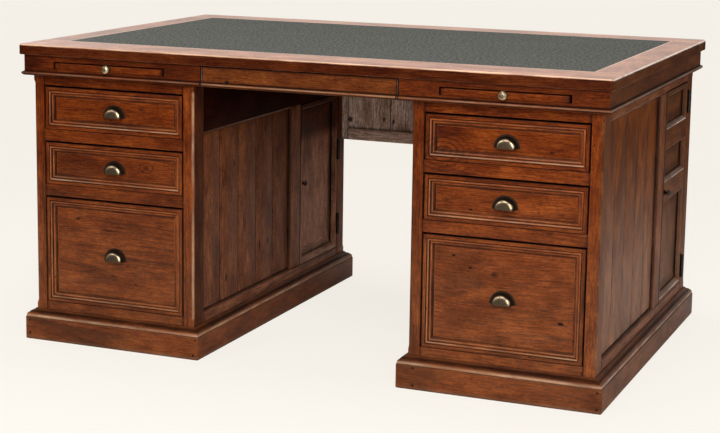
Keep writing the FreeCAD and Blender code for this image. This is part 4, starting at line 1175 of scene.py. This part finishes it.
def knobProfile(radius, out):
    base, neck = 0.9 * radius, 0.42 * radius
    crown, waist, rim = 0.30 * out, 0.24 * out, 0.06 * out
    edge = out - crown
    dome = (radius ** 2 + crown ** 2) / (2 * crown)
    lift = np.sin(np.linspace(0, math.asin(min(1, radius / dome)), 10))[::-1] * dome
    rows = [(base, 0, 0, 1), (base, 0.08 * out, 0, 0.8), (0.9 * base, 0.11 * out, 0, 0.8),
            (neck, 0.16 * out, 0, 1)]
    flare = arcThrough((neck, waist), (neck + 0.22 * (radius - neck), waist + 0.7 * (edge - rim - waist)),
                       (radius, edge - rim), 8)
    rows += [(r, d, 0, 0.9) for r, d in flare]
    top = out - dome + np.sqrt(np.maximum(dome ** 2 - lift ** 2, 0))
    # the outer part of the top is rubbed brighter, which also paints the rim's highlight
    return rows + [(max(r, tip), d, 0.12 + 0.5 * (r > 0.55 * radius), 0) for r, d in zip(lift, top)]


for body in drawers:
    node = body + "_pull"
    low, high = boxOf(node)
    centre = np.array([(low[0] + high[0]) / 2, high[1], low[2]])
    own = makeBoard(seeded(node), low, high, 0, False)
    shape = newShape()
    addTurned(shape, own, centre, -yAxis, cupProfile(), half=True, rubAndHighlightAngles=pull["rubAndHighlightAngles"])
    makePiece(node + "_cup", shape, agedBrass, [node], body)
knobs = {"left_slide": (-yAxis, agedBrass, "antique_brass"),
         "right_slide": (-yAxis, agedBrass, "antique_brass"),
         "kneehole_door": (xAxis, blackIron, "black_iron"),
         "outer_door": (xAxis, blackIron, "black_iron")}
for body, (axis, material, slotName) in knobs.items():
    node = body + "_knob"
    low, high = boxOf(node)
    size = high - low
    out = size @ abs(axis)
    own = makeBoard(seeded(node), low, high, 0, False)
    shape = newShape()
    addTurned(shape, own, (low + high) / 2 - axis * out / 2, axis, knobProfile(size[2] / 2, out))
    makePiece(node + "_turned", shape, material, [node], body)
print("pulls and knobs fitted")


# Nodes that keep their own mesh
kept = {"leather_inset": writingLeather, "hinge_frame_leaves": blackIron, "hinge_pins": blackIron,
        "kneehole_door_leaves": blackIron, "outer_door_leaves": blackIron}
for node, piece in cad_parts.items():
    if not piece.hide_render:
        piece.data.materials.clear()
        piece.data.materials.append(kept.get(node, bareTimber))


# Floor, light and camera
cream = (0.905, 0.870, 0.802, 1)
studio = {"floorRadius": 30.0, "floorSides": 96, "fadeFrom": 1.7, "fadeTo": 3.2, "ambient": 0.13,
          "floorGlow": 0.905, "floorShade": 0.18, "dimFrom": 1.4, "dimTo": 3.4, "dim": 0.2,
          "glare": (-0.35, 0.937, 0.0)}


# the floor: matt for the light that it throws back, darker further off, and for the camera mostly its own
# pale colour, with the shadow in the rest; further off it runs into the background
def makeFloor():
    made = bpy.data.materials.new("paleFloor")
    tree = emptyTree(made)
    away = calc("LENGTH", objectPlace(tree))
    seen = addNode(tree, "LightPath", output="Is Camera Ray")
    dim = ramped(away, studio["dimFrom"], studio["dimTo"], 1.0, studio["dim"])
    matt = addNode(tree, "BsdfDiffuse", {"Color": dim * cream[:3]})
    shaded = [channel * studio["floorShade"] for channel in cream[:3]] + [1]
    shade = addNode(tree, "BsdfDiffuse", {"Color": shaded})
    glow = addNode(tree, "Emission", {"Color": cream, "Strength": studio["floorGlow"]})
    near = addNode(tree, "AddShader", {0: shade, 1: glow})
    far = addNode(tree, "Emission", {"Color": cream, "Strength": 1.0})
    fade = ramped(away, studio["fadeFrom"], studio["fadeTo"])
    pale = addNode(tree, "MixShader", {0: fade, 1: near, 2: far})
    mix = addNode(tree, "MixShader", {0: seen, 1: matt, 2: pale})
    feed(tree, tree.nodes.new("ShaderNodeOutputMaterial"), {"Surface": mix})
    sides = studio["floorSides"]
    turn = np.linspace(0, 2 * np.pi, sides, endpoint=False)
    points = np.stack([np.cos(turn), np.sin(turn), 0 * turn], 1) * studio["floorRadius"]
    mesh = bpy.data.meshes.new("floor")
    mesh.from_pydata(points.tolist(), [], [list(range(sides))])
    mesh.materials.append(made)
    floor = bpy.data.objects.new("floor", mesh)
    bpy.context.scene.collection.objects.link(floor)


# the backdrop is pale all round for the camera; in reflections it is bright behind the desk on the left, and
# dim round the rest
def makeWorld():
    world = bpy.data.worlds.new("studio")
    tree = emptyTree(world)
    seen = outputsOf(tree, "LightPath")
    mirrored = calc("MAXIMUM", seen["Is Glossy Ray"], seen["Is Transmission Ray"])
    way = calc("DOT_PRODUCT", addNode(tree, "TexCoord", output="Generated"), studio["glare"])
    soft = addNode(tree, "Background", {"Color": (1, 0.985, 0.96, 1), "Strength": studio["ambient"]})
    dim = ramped(way, 0.5, 0.95, studio["dim"], 1.0)
    shown = addNode(tree, "Background", {"Color": cream, "Strength": dim})
    pale = addNode(tree, "Background", {"Color": cream, "Strength": 1.0})
    mix = addNode(tree, "MixShader", {0: mirrored, 1: soft, 2: shown})
    mix = addNode(tree, "MixShader", {0: seen["Is Camera Ray"], 1: mix, 2: pale})
    feed(tree, tree.nodes.new("ShaderNodeOutputWorld"), {"Surface": mix})
    bpy.context.scene.world = world


def hang(name, data, x, y, z, place):   # puts a lamp or camera in the scene, looking along -z
    made = bpy.data.objects.new(name, data)
    bpy.context.scene.collection.objects.link(made)
    rows = np.stack([x, y, z, np.array(place, float)], 1)
    made.matrix_world = Matrix([*rows.tolist(), [0, 0, 0, 1]])
    return made


def addLamp(name, place, target, size, power):
    lamp = bpy.data.lights.new(name, "AREA")
    lamp.shape, lamp.size, lamp.energy = "DISK", size, power
    z = np.array(place, float) - np.array(target, float)
    z /= np.linalg.norm(z)
    x = np.cross(up, z)
    x /= np.linalg.norm(x)
    hang(name, lamp, x, np.cross(z, x), z, place)


view = {"azimuth": 22.166, "elevation": 9.34, "roll": 0.841, "place": (1.66096, -4.17578, 1.20906),
        "lens": 86.421, "sensor": 36, "shiftY": -0.09}


def makeCamera():
    azimuth, elevation, roll = (math.radians(view[key]) for key in ("azimuth", "elevation", "roll"))
    forward = np.array([-math.sin(azimuth) * math.cos(elevation), math.cos(azimuth) * math.cos(elevation),
                        -math.sin(elevation)])
    right = np.array([math.cos(azimuth), math.sin(azimuth), 0])
    rise = np.cross(right, forward)
    x = right * math.cos(roll) + rise * math.sin(roll)
    y = rise * math.cos(roll) - right * math.sin(roll)
    data = bpy.data.cameras.new("camera")
    data.lens, data.sensor_width, data.shift_y = view["lens"], view["sensor"], view["shiftY"]
    bpy.context.scene.camera = hang("camera", data, x, y, -forward, view["place"])


makeFloor()
makeWorld()
addLamp("key", (0.7, -3.2, 3.0), (0, -0.3, 0.4), 2.2, 68)
addLamp("fill", (2.2, -3.9, 1.8), (0, 0, 0.35), 3.0, 82)
addLamp("rim", (-2.2, -3.4, 2.2), (0, -0.3, 0.4), 1.6, 25)
addLamp("side", (4.0, -0.4, 1.7), (0.7, 0, 0.4), 1.8, 26)
addLamp("overhead", (0, 0.4, 3.2), (0, 0, 0.7), 2.4, 45)
addLamp("back", (-3.4, 2.3, 2.8), (0, 0.3, 0.4), 2.4, 22)
makeCamera()
bpy.context.scene.view_settings.view_transform = "Standard"
print("studio lit")
